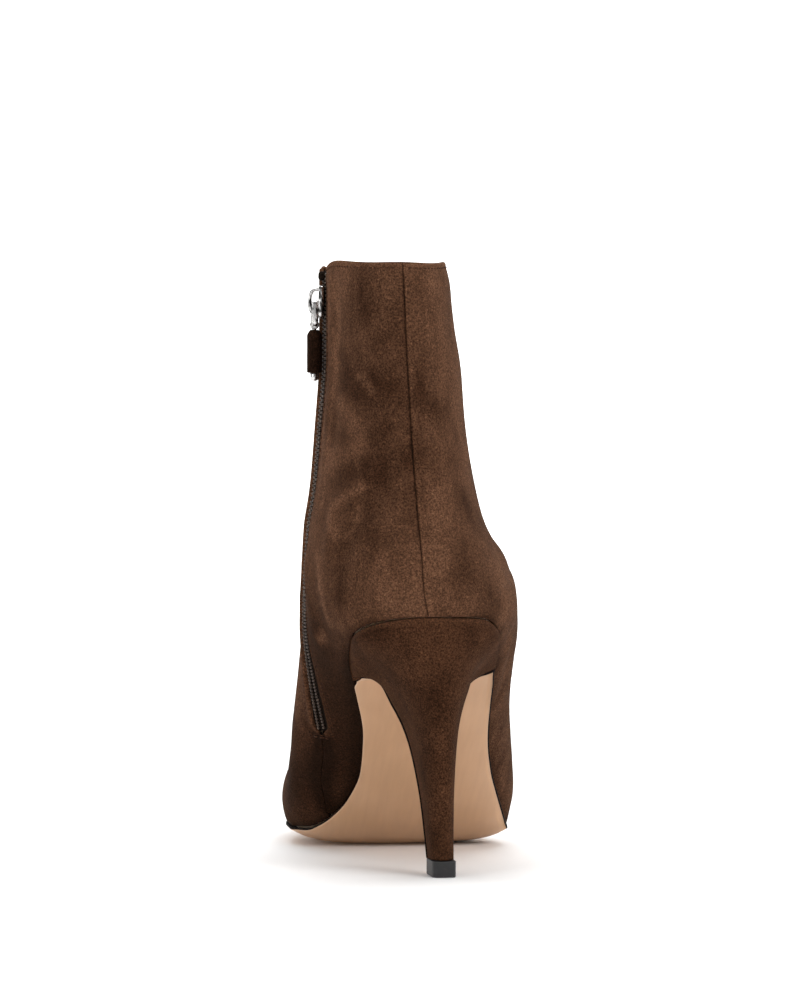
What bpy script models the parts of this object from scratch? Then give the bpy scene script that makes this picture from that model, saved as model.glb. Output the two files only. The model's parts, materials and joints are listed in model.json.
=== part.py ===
"""A high-heeled ankle boot for the right foot.

A suede upper lofted over the last, open at the collar and along a zip on its inner side,
a leather sole that turns down the front of a tapered heel, and a hanging zip pull.
The toe points along +Y, the wearer's right is +X, and the boot stands on z = 0.
"""

import math
from collections import namedtuple

import bmesh
import bpy
import numpy as np
from mathutils import Matrix, Vector

for old_object in list(bpy.data.objects):
    bpy.data.objects.remove(old_object)

MM = 0.001

# Driving sizes in millimetres
LENGTH = 238.0
BALL_WIDTH = 87.0
SEAT_HEIGHT = 90.5
INSTEP_HEIGHT = 121.0
BOOT_HEIGHT = 214.0
WALL = 2.0
GAP = 0.3
SMALL = 0.001
WELD = 0.01
HALVINGS = 30
SMOOTH_UP_TO = 0.6
SOLE_THICKNESS = 3.2
BREAST_THICKNESS = 1.6
SOLE_MARGIN = 0.6
INSOLE_THICKNESS = 1.8
LIFT_THICKNESS = 5.7
ZIP_SLOT_WIDTH = 6.0

# The last's bottom, from heel to toe. Shares are in percent: along of LENGTH,
# rise of SEAT_HEIGHT, medial and lateral (left and right edges) of BALL_WIDTH.
BottomRow = namedtuple("BottomRow", "along rise medial lateral")
BOTTOM = [
    BottomRow(1.3, 100.0, -35.4, 20.6),
    BottomRow(11.8, 92.3, -34.5, 26.0),
    BottomRow(21.0, 81.2, -31.8, 28.9),
    BottomRow(29.4, 67.4, -25.0, 30.8),
    BottomRow(37.8, 49.7, -19.2, 33.4),
    BottomRow(44.1, 34.8, -18.0, 37.7),
    BottomRow(49.6, 22.1, -21.6, 43.5),
    BottomRow(54.6, 11.7, -29.8, 48.7),
    BottomRow(59.7, 5.1, -37.4, 52.0),
    BottomRow(63.9, 3.87, -41.8, 51.2),
    BottomRow(69.3, 3.87, -41.6, 47.3),
    BottomRow(74.8, 4.6, -38.8, 41.6),
    BottomRow(81.9, 6.6, -32.8, 32.2),
    BottomRow(89.5, 9.8, -23.0, 19.5),
    BottomRow(100.0, 14.8, -12.6, 5.7),
]

# How far the tread's edges curl up off the flat, from heel to toe. rise is of SEAT_HEIGHT.
CurlRow = namedtuple("CurlRow", "along rise")
EDGE_CURL = [
    CurlRow(0.0, 0.0),
    CurlRow(53.0, 0.0),
    CurlRow(57.0, 1.3),
    CurlRow(60.0, 3.0),
    CurlRow(65.0, 4.0),
    CurlRow(72.0, 4.2),
    CurlRow(82.0, 3.0),
    CurlRow(92.0, 1.2),
    CurlRow(100.0, 0.0),
]

# Sections of the shaft, from the collar down. Rises over 100 climb from the seat
# (or the instep) at 100 to the collar at 200. wide is the share of the way from back to
# front at the widest line; curl is the angle that the wall turns from there to its start.
ShaftRow = namedtuple(
    "ShaftRow",
    "name back_along back_rise back_x front_along front_rise front_x medial lateral wide curl",
)
SHAFT = [
    ShaftRow("collar", 3.4, 200, -17.0, 44.1, 200, -16.9, -41.7, 7.8, 50, 90),
    ShaftRow("shaft", 4.0, 176, -15.2, 43.6, 169, -14.7, -41.7, 13.2, 50, 90),
    ShaftRow("shaft_low", 3.9, 151, -13.2, 43.5, 142, -13.1, -44.0, 16.6, 50, 90),
    ShaftRow("ankle", 2.6, 130, -11.4, 44.1, 124, -11.3, -45.9, 20.9, 50, 90),
    ShaftRow("counter", 1.0, 117, -10.3, 45.0, 111, -9.7, -48.3, 25.2, 49, 90),
    ShaftRow("counter_low", 0.8, 106, -9.3, 45.6, 104, -8.3, -49.0, 32.2, 48, 90),
]

# Sections of the foot, from the seat to the toe, each standing on the last's bottom.
FootRow = namedtuple("FootRow", "name along front_along front_rise front_x medial lateral wide curl")
FOOT = [
    FootRow("seat_back", 1.3, 46.2, 100, -7.6, -49.2, 36.0, 48, 90),
    FootRow("seat", 11.8, 47.9, 93, -5.7, -48.3, 40.5, 45, 50),
    FootRow("breast", 21.0, 50.4, 86, -4.0, -47.4, 43.4, 42, 50),
    FootRow("shank", 29.4, 54.0, 78, -2.3, -46.2, 44.8, 40, 54),
    FootRow("waist", 37.8, 58.6, 68, -1.1, -45.8, 46.6, 36, 60),
    FootRow("waist_front", 44.1, 62.6, 60, 0.0, -45.8, 49.4, 33, 62),
    FootRow("ball_back", 49.6, 66.6, 54, 0.0, -45.2, 52.4, 30, 60),
    FootRow("ball_lateral", 54.6, 70.4, 48, 0.0, -45.0, 54.6, 27, 58),
    FootRow("ball", 59.7, 73.9, 43, -0.6, -44.6, 54.0, 24, 56),
    FootRow("ball_medial", 65.1, 77.9, 38, -1.1, -44.0, 51.2, 22, 56),
    FootRow("vamp", 73.5, 84.0, 31, -1.7, -41.6, 44.2, 22, 56),
    FootRow("toe_box", 81.9, 89.9, 26, -2.3, -35.0, 34.3, 24, 56),
    FootRow("toe", 89.5, 95.0, 21.5, -2.9, -25.8, 22.2, 26, 56),
    FootRow("tip", 100.0, 102.0, 19, -3.4, -15.4, 8.4, 30, 56),
]

# The zip's middle line on the inner side, from the sole up. rise is of BOOT_HEIGHT.
ZipRow = namedtuple("ZipRow", "rise along")
ZIP_LINE = [
    ZipRow(4.0, 54.8),
    ZipRow(12.0, 49.8),
    ZipRow(18.7, 44.0),
    ZipRow(24.5, 40.0),
    ZipRow(32.5, 35.4),
    ZipRow(39.5, 31.9),
    ZipRow(45.5, 28.8),
    ZipRow(51.0, 26.3),
    ZipRow(57.5, 24.6),
    ZipRow(73.0, 23.8),
    ZipRow(100.0, 23.7),
]

# The heel block, from its rim under the seat to the lift. half is the half width.
HeelRow = namedtuple("HeelRow", "name back_along back_rise front_along front_rise half bow")
HEEL = [
    HeelRow("rim", 1.1, 99.6, 22.9, 78.1, 30.2, 1.0),
    HeelRow("lip", 1.15, 95.0, 21.5, 78.3, 29.6, 0.9),
    HeelRow("cup", 1.25, 90.6, 20.4, 77.2, 26.2, 0.7),
    HeelRow("shoulder", 1.5, 86.7, 19.9, 75.2, 21.6, 0.5),
    HeelRow("flare", 1.75, 82.9, 19.5, 71.6, 17.4, 0.3),
    HeelRow("stem_top", 2.3, 76.2, 18.7, 65.4, 14.0, 0.1),
    HeelRow("stem_high", 3.1, 67.4, 17.3, 57.7, 10.5, 0.0),
    HeelRow("stem", 3.95, 56.9, 15.8, 49.3, 8.3, 0.0),
    HeelRow("stem_mid", 4.9, 44.2, 14.4, 39.8, 6.9, 0.0),
    HeelRow("stem_low", 5.7, 30.4, 13.1, 28.7, 5.8, 0.0),
    HeelRow("foot", 6.3, 16.6, 12.1, 16.0, 5.1, 0.0),
    HeelRow("base", 6.55, 6.65, 11.5, 6.65, 4.7, 0.0),
]
HEEL_FOOT_X = 1.3
HEEL_LEAN = 0.037

SEAT_CAP_END = BOTTOM[1].along * LENGTH / 100
HEEL_BACK = BOTTOM[0].along * LENGTH / 100
TOE_CAP_START = BOTTOM[-2].along * LENGTH / 100


def smooth_curve(places, values, stops_at_end=False):
    """A monotone cubic through the rows of a table, as a function of place."""
    xs = np.asarray(places, float)
    ys = np.asarray(values, float)
    steps = np.diff(xs)
    slopes = np.diff(ys) / steps
    tangents = np.zeros_like(ys)
    tangents[0] = slopes[0]
    tangents[-1] = 0.0 if stops_at_end else slopes[-1]
    for i in range(1, len(ys) - 1):
        if slopes[i - 1] * slopes[i] > 0:
            before = 2 * steps[i] + steps[i - 1]
            after = steps[i] + 2 * steps[i - 1]
            tangents[i] = (before + after) / (before / slopes[i - 1] + after / slopes[i])

    def value(x):
        i = int(np.clip(np.searchsorted(xs, x, side="right") - 1, 0, len(steps) - 1))
        u = (x - xs[i]) / steps[i]
        start = (1 + 2 * u) * (1 - u) ** 2 * ys[i] + u * (1 - u) ** 2 * steps[i] * tangents[i]
        end = u * u * (3 - 2 * u) * ys[i + 1] + u * u * (u - 1) * steps[i] * tangents[i + 1]
        return float(start + end)

    return value


def column(rows, name, unit):
    return [getattr(row, name) * unit / 100 for row in rows]


BOTTOM_PLACES = column(BOTTOM, "along", LENGTH)
bottom_height = smooth_curve(BOTTOM_PLACES, column(BOTTOM, "rise", SEAT_HEIGHT))
bottom_medial = smooth_curve(BOTTOM_PLACES, column(BOTTOM, "medial", BALL_WIDTH))
bottom_lateral = smooth_curve(BOTTOM_PLACES, column(BOTTOM, "lateral", BALL_WIDTH))
edge_curl = smooth_curve(
    column(EDGE_CURL, "along", LENGTH), column(EDGE_CURL, "rise", SEAT_HEIGHT), stops_at_end=True
)


def outline(y, margin=0.0):
    """Medial and lateral edge of the last's bottom at y, grown all round by margin."""
    middle = (bottom_medial(y) + bottom_lateral(y)) / 2
    half = (bottom_lateral(y) - bottom_medial(y)) / 2 + margin
    back = HEEL_BACK - margin
    tip = LENGTH + margin
    if y < SEAT_CAP_END:
        half *= math.sqrt(max(0.0, 1 - ((SEAT_CAP_END - y) / (SEAT_CAP_END - back)) ** 2))
    if y > TOE_CAP_START:
        half *= math.sqrt(max(0.0, 1 - ((y - TOE_CAP_START) / (tip - TOE_CAP_START)) ** 2))
    return middle - half, middle + half


# Sections of the upper, counted from the collar down the back and then forward to the toe
SEAT_BACK = len(SHAFT)
SEAT = SEAT_BACK + 1
TIP = len(SHAFT) + len(FOOT) - 1
TOE = TIP - 1
ALL_ROWS = SHAFT + FOOT
COUNTS = list(range(len(ALL_ROWS)))
QUARTER = math.pi / 2


def climb(share, middle_height):
    """A height from the floor (0) by the seat or instep (100) to the collar (200)."""
    if share <= 100:
        return middle_height * share / 100
    return middle_height + (BOOT_HEIGHT - middle_height) * (share - 100) / 100


shaft_back_y = smooth_curve(
    COUNTS[:SEAT], column(SHAFT, "back_along", LENGTH) + [HEEL_BACK], stops_at_end=True
)
shaft_back_z = smooth_curve(
    COUNTS[:SEAT],
    [climb(row.back_rise, SEAT_HEIGHT) for row in SHAFT] + [SEAT_HEIGHT],
    stops_at_end=True,
)
SEAT_MIDDLE = sum(outline(HEEL_BACK)) / 2
shaft_back_x = smooth_curve(
    COUNTS[:SEAT], column(SHAFT, "back_x", BALL_WIDTH) + [SEAT_MIDDLE], stops_at_end=True
)
foot_y = smooth_curve(COUNTS[SEAT_BACK:], column(FOOT, "along", LENGTH))
front_y = smooth_curve(COUNTS, column(ALL_ROWS, "front_along", LENGTH))
front_z = smooth_curve(COUNTS, [climb(row.front_rise, INSTEP_HEIGHT) for row in ALL_ROWS])
front_x = smooth_curve(COUNTS, column(ALL_ROWS, "front_x", BALL_WIDTH))
medial_x = smooth_curve(COUNTS, column(ALL_ROWS, "medial", BALL_WIDTH))
lateral_x = smooth_curve(COUNTS, column(ALL_ROWS, "lateral", BALL_WIDTH))
wide_share = smooth_curve(COUNTS, column(ALL_ROWS, "wide", 1.0))
zip_y = smooth_curve(column(ZIP_LINE, "rise", BOOT_HEIGHT), column(ZIP_LINE, "along", LENGTH))
curl_angle = smooth_curve(COUNTS, [math.radians(row.curl) for row in ALL_ROWS])


def foot_place(count, margin=0.0):
    """The place along the bottom at a section, with the heel and toe ends grown by margin."""
    if count < SEAT:
        reach = SEAT_CAP_END - HEEL_BACK + margin
        return SEAT_CAP_END - reach * math.cos(QUARTER * (count - SEAT_BACK))
    if count > TOE:
        reach = LENGTH + margin - TOE_CAP_START
        return TOE_CAP_START + reach * math.sin(QUARTER * (count - TOE))
    return foot_y(count)


def beside_bottom(y, lift):
    """The point at a distance above (or below) the last's bottom line, square to it."""
    step = 0.5
    slope = (bottom_height(y + step) - bottom_height(y - step)) / (2 * step)
    scale = lift / math.hypot(slope, 1)
    return y - slope * scale, bottom_height(y) + scale


FLAT_SHARE = 0.5


def edge_lift(x, y):
    """How far the bottom has curled up at x: nothing over its flat middle, all at its edges."""
    medial, lateral = outline(y)
    off_middle = abs(x - (medial + lateral) / 2) / max((lateral - medial) / 2, SMALL)
    return edge_curl(y) * min(1.0, max(0.0, (off_middle - FLAT_SHARE) / (1 - FLAT_SHARE)))


def start_curl(count):
    """The angle that the wall turns under, which opens from the back seam into the seat."""
    if SEAT_BACK < count < SEAT:
        return math.acos(math.sin(QUARTER * (count - SEAT_BACK)) * math.cos(curl_angle(SEAT)))
    return curl_angle(count)


Section = namedtuple("Section", "back front starts front_x edges wide curl")
MEDIAL = -1
LATERAL = 1


def section_at(count):
    """The upper's section at a place counted in table rows, with parts of a row between."""
    front = np.array((front_y(count), front_z(count)))
    edges = {MEDIAL: medial_x(count), LATERAL: lateral_x(count)}
    front_middle = front_x(count)
    if count <= SEAT_BACK:
        back = np.array((shaft_back_y(count), shaft_back_z(count)))
        starts = {MEDIAL: shaft_back_x(count), LATERAL: shaft_back_x(count)}
    else:
        along = foot_place(count)
        back = np.array((along, bottom_height(along) + edge_curl(along)))
        starts = dict(zip((MEDIAL, LATERAL), outline(along)))
    if count > TOE:
        nose = math.cos(QUARTER * (count - TOE))
        middle = sum(starts.values()) / 2
        front = back + (front - back) * nose
        edges = {side: middle + (edge - middle) * nose for side, edge in edges.items()}
        front_middle = middle + (front_middle - middle) * nose
    return Section(back, front, starts, front_middle, edges, wide_share(count), start_curl(count))


def wall_point(section, turn, side):
    """A point of the wall: turn is -1 at the start, 0 at the widest line, 1 on the front ridge."""
    start = section.starts[side]
    edge = section.edges[side]
    if turn < 0:
        angle = -turn * section.curl
        share = section.wide * (1 - math.sin(angle) / math.sin(section.curl))
        reach = (math.cos(angle) - math.cos(section.curl)) / (1 - math.cos(section.curl))
        x = start + (edge - start) * reach
    else:
        angle = turn * QUARTER
        share = section.wide + (1 - section.wide) * math.sin(angle)
        x = section.front_x + (edge - section.front_x) * math.cos(angle)
    y, z = section.back + (section.front - section.back) * share
    return np.array((x, y, z))


SOFT_SPAN = 0.3
SOFT_CENTRE = SEAT_BACK + 0.4
SOFT_REACH = 2.0
SOFT_TURN = 0.6


def upper_point(count, turn, side):
    """A point of the upper, with the sections round the heel's back eased into each other."""
    exact = wall_point(section_at(count), turn, side)
    near_heel = max(0.0, 1 - (abs(count - SOFT_CENTRE) / SOFT_REACH) ** 2)
    off_edge = min(1.0, (turn + 1) / SOFT_TURN)
    if near_heel * off_edge <= 0:
        return exact
    span = SOFT_SPAN * near_heel * off_edge
    before = wall_point(section_at(count - span), turn, side)
    after = wall_point(section_at(count + span), turn, side)
    return (before + exact + after) / 3


def outward(count, turn, side):
    """The wall's unit normal, pointing away from the foot."""
    step = 0.01
    low = max(count - step, 0.0)
    high = min(count + step, TIP - step)
    along_row = upper_point(count, turn + step, side) - upper_point(count, turn - step, side)
    along_count = upper_point(high, turn, side) - upper_point(low, turn, side)
    normal = np.cross(along_row, along_count) * -side
    return normal / np.linalg.norm(normal)


LEAST_ZIP_SHARE = 0.12


def zip_turn(section):
    """Where the middle of the zip crosses a section, found by halving."""
    low = LEAST_ZIP_SHARE
    high = 1.0
    for _ in range(HALVINGS):
        share = (low + high) / 2
        y, z = section.back + (section.front - section.back) * share
        if y > zip_y(z):
            high = share
        else:
            low = share
    if low < section.wide:
        sine = (section.wide - low) / section.wide * math.sin(section.curl)
        return -math.asin(sine) / section.curl
    return math.asin((low - section.wide) / (1 - section.wide)) / QUARTER


def turn_beside_zip(section, across):
    """The turn of the wall that lies a distance in front of the zip's middle."""
    step = 0.02
    turn = zip_turn(section)
    stretch = wall_point(section, turn + step, MEDIAL) - wall_point(section, turn - step, MEDIAL)
    return turn + across * 2 * step / max(np.linalg.norm(stretch), SMALL)


def zip_point(count, across, out):
    """A point beside the zip's middle line, lifted out of the wall's outer surface."""
    turn = turn_beside_zip(section_at(count), across)
    return upper_point(count, turn, MEDIAL) + outward(count, turn, MEDIAL) * out


# Scene set-up: a collection for the boot, an empty that carries it, and plain materials
collection = bpy.data.collections.new("ankle_boot")
bpy.context.scene.collection.children.link(collection)
cutters = bpy.data.collections.new("cutters")
bpy.context.scene.collection.children.link(cutters)
boot = bpy.data.objects.new("boot", None)
collection.objects.link(boot)


def material(name, colour, roughness, metallic=0.0):
    made = bpy.data.materials.new(name)
    made.use_nodes = True
    shader = made.node_tree.nodes["Principled BSDF"]
    shader.inputs["Base Color"].default_value = (*colour, 1.0)
    shader.inputs["Roughness"].default_value = roughness
    shader.inputs["Metallic"].default_value = metallic
    return made


SUEDE = material("brown_suede", (0.085, 0.042, 0.022), 0.95)
LINING = material("sock_leather", (0.42, 0.30, 0.20), 0.6)
SOLE_LEATHER = material("tan_sole_leather", (0.52, 0.32, 0.19), 0.45)
LIFT_RUBBER = material("dark_lift_rubber", (0.05, 0.045, 0.047), 0.7)
ZIP_TAPE = material("brown_zip", (0.06, 0.032, 0.018), 0.7)
METAL = material("bright_metal", (0.62, 0.60, 0.57), 0.25, 1.0)


def add_mesh(name, bm, finish, parent=boot, group=collection):
    """Close a bmesh into a named object in the boot's collection."""
    mesh = bpy.data.meshes.new(name)
    bm.to_mesh(mesh)
    bm.free()
    mesh.shade_smooth()
    mesh.set_sharp_from_angle(angle=SMOOTH_UP_TO)
    made = bpy.data.objects.new(name, mesh)
    made.data.materials.append(finish)
    made.parent = parent
    group.objects.link(made)
    return made


def grid_surface(rows, left_out=None):
    """A surface through rows of points in millimetres, with repeated points welded."""
    bm = bmesh.new()
    lines = [[bm.verts.new(Vector(point) * MM) for point in row] for row in rows]
    for i in range(len(rows) - 1):
        for j in range(len(rows[i]) - 1):
            if left_out and left_out(i, j):
                continue
            bm.faces.new((lines[i][j], lines[i][j + 1], lines[i + 1][j + 1], lines[i + 1][j]))
    bmesh.ops.remove_doubles(bm, verts=bm.verts, dist=WELD * MM)
    bmesh.ops.dissolve_degenerate(bm, dist=WELD * MM, edges=bm.edges)
    return bm


def thicken(made, thickness):
    """Give a surface its thickness, on the side away from its face normals."""
    wall = made.modifiers.new("thickness", "SOLIDIFY")
    wall.thickness = thickness * MM
    wall.offset = -1.0
    wall.use_even_offset = True
    return wall


# Upper: suede closed over the last, open at the collar, along the zip and underneath
ZIP_END = 10.3
BEHIND_ZIP_STEPS = 5
BEFORE_ZIP_STEPS = 8
LATERAL_STEPS = 13
SECTION_STEPS = 2
SEAT_STEPS = 6
TOE_STEPS = 5
SLOT_SHARE = 0.055
SKIVED_TOE = 12.0
SKIVED_SHARE = 0.04


def upper_counts():
    shaft = np.arange(0, SEAT_BACK, 1 / SECTION_STEPS)
    seat = np.arange(SEAT_BACK, SEAT, 1 / SEAT_STEPS)
    foot = np.arange(SEAT, TOE, 1 / SECTION_STEPS)
    toe = np.linspace(TOE, TIP, TOE_STEPS + 1)
    return [float(count) for part in (shaft, seat, foot, toe) for count in part]


def foot_counts():
    return [count for count in upper_counts() if count >= SEAT_BACK]


def upper_row(count):
    """One row of the outer surface, from the start of the medial side over the front and back."""
    section = section_at(count)
    height = np.linalg.norm(section.front - section.back)
    slot_half = min(ZIP_SLOT_WIDTH / 2, SLOT_SHARE * height)
    behind = np.linspace(-1, turn_beside_zip(section, -slot_half), BEHIND_ZIP_STEPS + 1)
    before = np.linspace(turn_beside_zip(section, slot_half), 1, BEFORE_ZIP_STEPS + 1)
    lateral = np.linspace(1, -1, LATERAL_STEPS + 1)[1:]
    medial_points = [upper_point(count, turn, MEDIAL) for turn in (*behind, *before)]
    return medial_points + [upper_point(count, turn, LATERAL) for turn in lateral]


def build_upper():
    counts = upper_counts()

    def in_zip_slot(i, j):
        return j == BEHIND_ZIP_STEPS and counts[i] < ZIP_END

    surface = grid_surface([upper_row(count) for count in counts], in_zip_slot)
    upper = add_mesh("upper", surface, SUEDE)
    wall = thicken(upper, WALL)
    full = upper.vertex_groups.new(name="full_wall")
    for vertex in upper.data.vertices:
        from_tip = LENGTH - vertex.co.y / MM
        full.add([vertex.index], min(1.0, from_tip / SKIVED_TOE), "REPLACE")
    wall.vertex_group = full.name
    wall.thickness_vertex_group = SKIVED_SHARE


# Insole: board and sock that lie on the last's bottom inside the upper
INSOLE_EASE = 0.2
INSOLE_INSET = WALL + GAP + INSOLE_EASE
INSOLE_LIFT = 0.1
INSOLE_END = TOE + 0.5
ACROSS_STEPS = 4


def build_insole():
    rows = []
    for count in foot_counts():
        if count > INSOLE_END:
            break
        place = foot_place(count, -INSOLE_INSET)
        medial, lateral = outline(place, -INSOLE_INSET)
        y, z = beside_bottom(place, INSOLE_LIFT + INSOLE_THICKNESS)
        across = np.linspace(medial, lateral, ACROSS_STEPS + 1)
        rows.append([(x, y, z + edge_lift(x, place)) for x in across])
    insole = add_mesh("insole", grid_surface(rows), LINING)
    thicken(insole, INSOLE_THICKNESS)


# Heel: a block with a cup under the seat, tapered to the lift
HEEL_RINGS = 22
HEEL_SIDE_STEPS = 8
HEEL_COUNTS = list(range(len(HEEL)))
heel_back_y = smooth_curve(HEEL_COUNTS, column(HEEL, "back_along", LENGTH))
heel_back_z = smooth_curve(HEEL_COUNTS, column(HEEL, "back_rise", SEAT_HEIGHT))
heel_front_y = smooth_curve(HEEL_COUNTS, column(HEEL, "front_along", LENGTH))
heel_front_z = smooth_curve(HEEL_COUNTS, column(HEEL, "front_rise", SEAT_HEIGHT))
heel_half = smooth_curve(HEEL_COUNTS, column(HEEL, "half", BALL_WIDTH))
heel_bow = smooth_curve(HEEL_COUNTS, [row.bow for row in HEEL])


def heel_middle(z):
    return HEEL_FOOT_X - HEEL_LEAN * z


def heel_side(count):
    """Half a ring of the heel from back to breast: pairs of medial and lateral points."""
    back = heel_back_y(count)
    front = heel_front_y(count)
    rim_back = HEEL_BACK - SOLE_MARGIN
    rim_front = heel_front_y(0)
    rim_medial, rim_lateral = outline(rim_front, SOLE_MARGIN)
    pairs = []
    for i in range(HEEL_SIDE_STEPS + 1):
        share = 1 - math.cos(QUARTER * i / HEEL_SIDE_STEPS)
        y = back + (front - back) * share
        rim_y = rim_back + (rim_front - rim_back) * share
        seat_medial, seat_lateral = outline(rim_y, SOLE_MARGIN)
        fullness = (seat_lateral - seat_medial) / (rim_lateral - rim_medial)
        chord = heel_back_z(count) + (heel_front_z(count) - heel_back_z(count)) * share
        rim_chord = heel_back_z(0) + (heel_front_z(0) - heel_back_z(0)) * share
        z = chord + heel_bow(count) * (beside_bottom(rim_y, -GAP)[1] - rim_chord)
        seat_middle = (seat_medial + seat_lateral) / 2
        middle = heel_middle(z) + (seat_middle - heel_middle(z)) * heel_bow(count)
        half = heel_half(count) * fullness
        pairs.append(((middle - half, y, z), (middle + half, y, z)))
    return pairs


def build_heel():
    bm = bmesh.new()
    rings = []
    for i in range(HEEL_RINGS + 1):
        count = HEEL_COUNTS[-1] * i / HEEL_RINGS
        pairs = heel_side(count)
        rings.append([[bm.verts.new(Vector(point) * MM) for point in pair] for pair in pairs])
    for above, below in zip(rings, rings[1:]):
        for j in range(HEEL_SIDE_STEPS):
            for side in (0, 1):
                bm.faces.new((above[j][side], above[j + 1][side], below[j + 1][side], below[j][side]))
        bm.faces.new((*above[-1], *reversed(below[-1])))
    for ring in (rings[0], rings[-1]):
        for j in range(HEEL_SIDE_STEPS):
            bm.faces.new((*ring[j], *reversed(ring[j + 1])))
    bmesh.ops.remove_doubles(bm, verts=bm.verts, dist=WELD * MM)
    bmesh.ops.dissolve_degenerate(bm, dist=WELD * MM, edges=bm.edges)
    bmesh.ops.recalc_face_normals(bm, faces=bm.faces)
    add_mesh("heel", bm, SUEDE)


# Outsole: one sheet of leather from the toe, under the arch and down the heel's front
BREAST_ROWS = 16
SOLE_START = 56.0
FULL_SOLE_AFTER = 60.0
BREAST_MARGIN = 0.4
TANGENT_STEP = 0.01


def breast_rows():
    """The sheet on the heel's front, from the lift up to the lip under the shank."""
    rows = []
    for i in range(BREAST_ROWS + 1):
        count = HEEL_COUNTS[-1] * (1 - i / BREAST_ROWS)
        lower = count + TANGENT_STEP
        higher = count - TANGENT_STEP
        before = np.array((heel_front_y(lower), heel_front_z(lower)))
        after = np.array((heel_front_y(higher), heel_front_z(higher)))
        tangent = (after - before) / np.linalg.norm(after - before)
        y, z = (before + after) / 2 + GAP * np.array((tangent[1], -tangent[0]))
        (medial, _, _), (lateral, _, _) = heel_side(count)[-1]
        rows.append((medial - BREAST_MARGIN, lateral + BREAST_MARGIN, y, z, 0.0))
    return rows


def tread_rows():
    """The sheet under the upper, from the heel's lip to the toe."""
    rows = []
    for count in foot_counts():
        place = foot_place(count, SOLE_MARGIN)
        if place < SOLE_START:
            continue
        medial, lateral = outline(place, SOLE_MARGIN)
        y, z = beside_bottom(place, -GAP)
        fullness = min(1.0, (place - SOLE_START) / FULL_SOLE_AFTER)
        rows.append((medial, lateral, y, z, fullness))
    return rows


def build_outsole():
    sheet = breast_rows() + tread_rows()
    rows = []
    for medial, lateral, y, z, _ in sheet:
        across = np.linspace(medial, lateral, ACROSS_STEPS + 1)
        rows.append([(x, y, z + edge_lift(x, y)) for x in across])
    outsole = add_mesh("outsole", grid_surface(rows), SOLE_LEATHER)
    full = outsole.vertex_groups.new(name="full_thickness")
    fullness_at = {round(y, 3): fullness for _, _, y, _, fullness in sheet}
    for vertex in outsole.data.vertices:
        full.add([vertex.index], fullness_at.get(round(vertex.co.y / MM, 3), 1.0), "REPLACE")
    sole = thicken(outsole, SOLE_THICKNESS)
    sole.vertex_group = full.name
    sole.thickness_vertex_group = BREAST_THICKNESS / SOLE_THICKNESS


# Top lift: a hard rubber tip under the heel and the sheet on its front
LIFT_OVERHANG = 0.3
LIFT_CORNER_STEPS = 6
WIRE_RESOLUTION = 2


def add_curve(name, splines, finish, parent=boot, group=collection, closed=True):
    """A curve object through points in millimetres, one straight-sided spline for each list."""
    curve = bpy.data.curves.new(name, "CURVE")
    curve.dimensions = "3D"
    for points in splines:
        spline = curve.splines.new("POLY")
        spline.points.add(len(points) - 1)
        for spot, point in zip(spline.points, points):
            spot.co = (*(Vector(point) * MM), 1.0)
        spline.use_cyclic_u = closed
    made = bpy.data.objects.new(name, curve)
    made.data.materials.append(finish)
    made.parent = parent
    group.objects.link(made)
    return made


def build_top_lift():
    back = heel_back_y(HEEL_COUNTS[-1]) - LIFT_OVERHANG
    front = heel_front_y(HEEL_COUNTS[-1]) + GAP + BREAST_THICKNESS + LIFT_OVERHANG
    half = heel_half(HEEL_COUNTS[-1]) + LIFT_OVERHANG
    middle = heel_middle(LIFT_THICKNESS)
    points = [(middle + half, front, 0.0), (middle - half, front, 0.0)]
    for i in range(2 * LIFT_CORNER_STEPS + 1):
        angle = math.pi * i / (2 * LIFT_CORNER_STEPS)
        points.append((middle - half * math.cos(angle), back + half * (1 - math.sin(angle)), 0.0))
    lift = add_curve("top_lift", [points], LIFT_RUBBER)
    lift.data.dimensions = "2D"
    lift.data.fill_mode = "BOTH"
    lift.data.extrude = LIFT_THICKNESS / 2 * MM
    lift.location.z = LIFT_THICKNESS / 2 * MM


# Zip chain: tape with a raised double row of teeth, set in the slot of the upper
ZIP_ROWS = 48
ZIP_TOP = 0.02
ZIP_BOTTOM = ZIP_END - ZIP_TOP
TAPE_DEPTH = 1.0
TAPE_THICKNESS = 0.9
TEETH_DEPTH = 0.1
TEETH_HALF = 2.1
TAPE_HALF = ZIP_SLOT_WIDTH / 2 - 2 * GAP


def build_zip_chain():
    profile = [
        (-TAPE_HALF, -TAPE_DEPTH),
        (-TEETH_HALF - GAP, -TAPE_DEPTH),
        (-TEETH_HALF, -TEETH_DEPTH),
        (0.0, -TEETH_DEPTH),
        (TEETH_HALF, -TEETH_DEPTH),
        (TEETH_HALF + GAP, -TAPE_DEPTH),
        (TAPE_HALF, -TAPE_DEPTH),
    ]
    rows = []
    for count in np.linspace(ZIP_TOP, ZIP_BOTTOM, ZIP_ROWS + 1):
        rows.append([zip_point(count, across, out) for across, out in profile])
    chain = add_mesh("zip_chain", grid_surface(rows), ZIP_TAPE)
    thicken(chain, TAPE_THICKNESS)


# Zip slider: a plate over the chain with an arched crown, near the collar
SLIDER_DROP = 11.0
SLIDER_LENGTH = 11.6
SLIDER_WIDTH = 8.4
SLIDER_FOOT_WIDTH = 6.4
SLIDER_PLATE = 1.9
SLIDER_ROUNDING = 0.5
SLIDER_ROUNDING_STEPS = 2
CROWN_OUT = 5.0
CROWN_HALF_LENGTH = 4.6
CROWN_RADIUS = 0.7
CROWN_STEPS = 10
HINGE_OUT = 3.3


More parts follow.
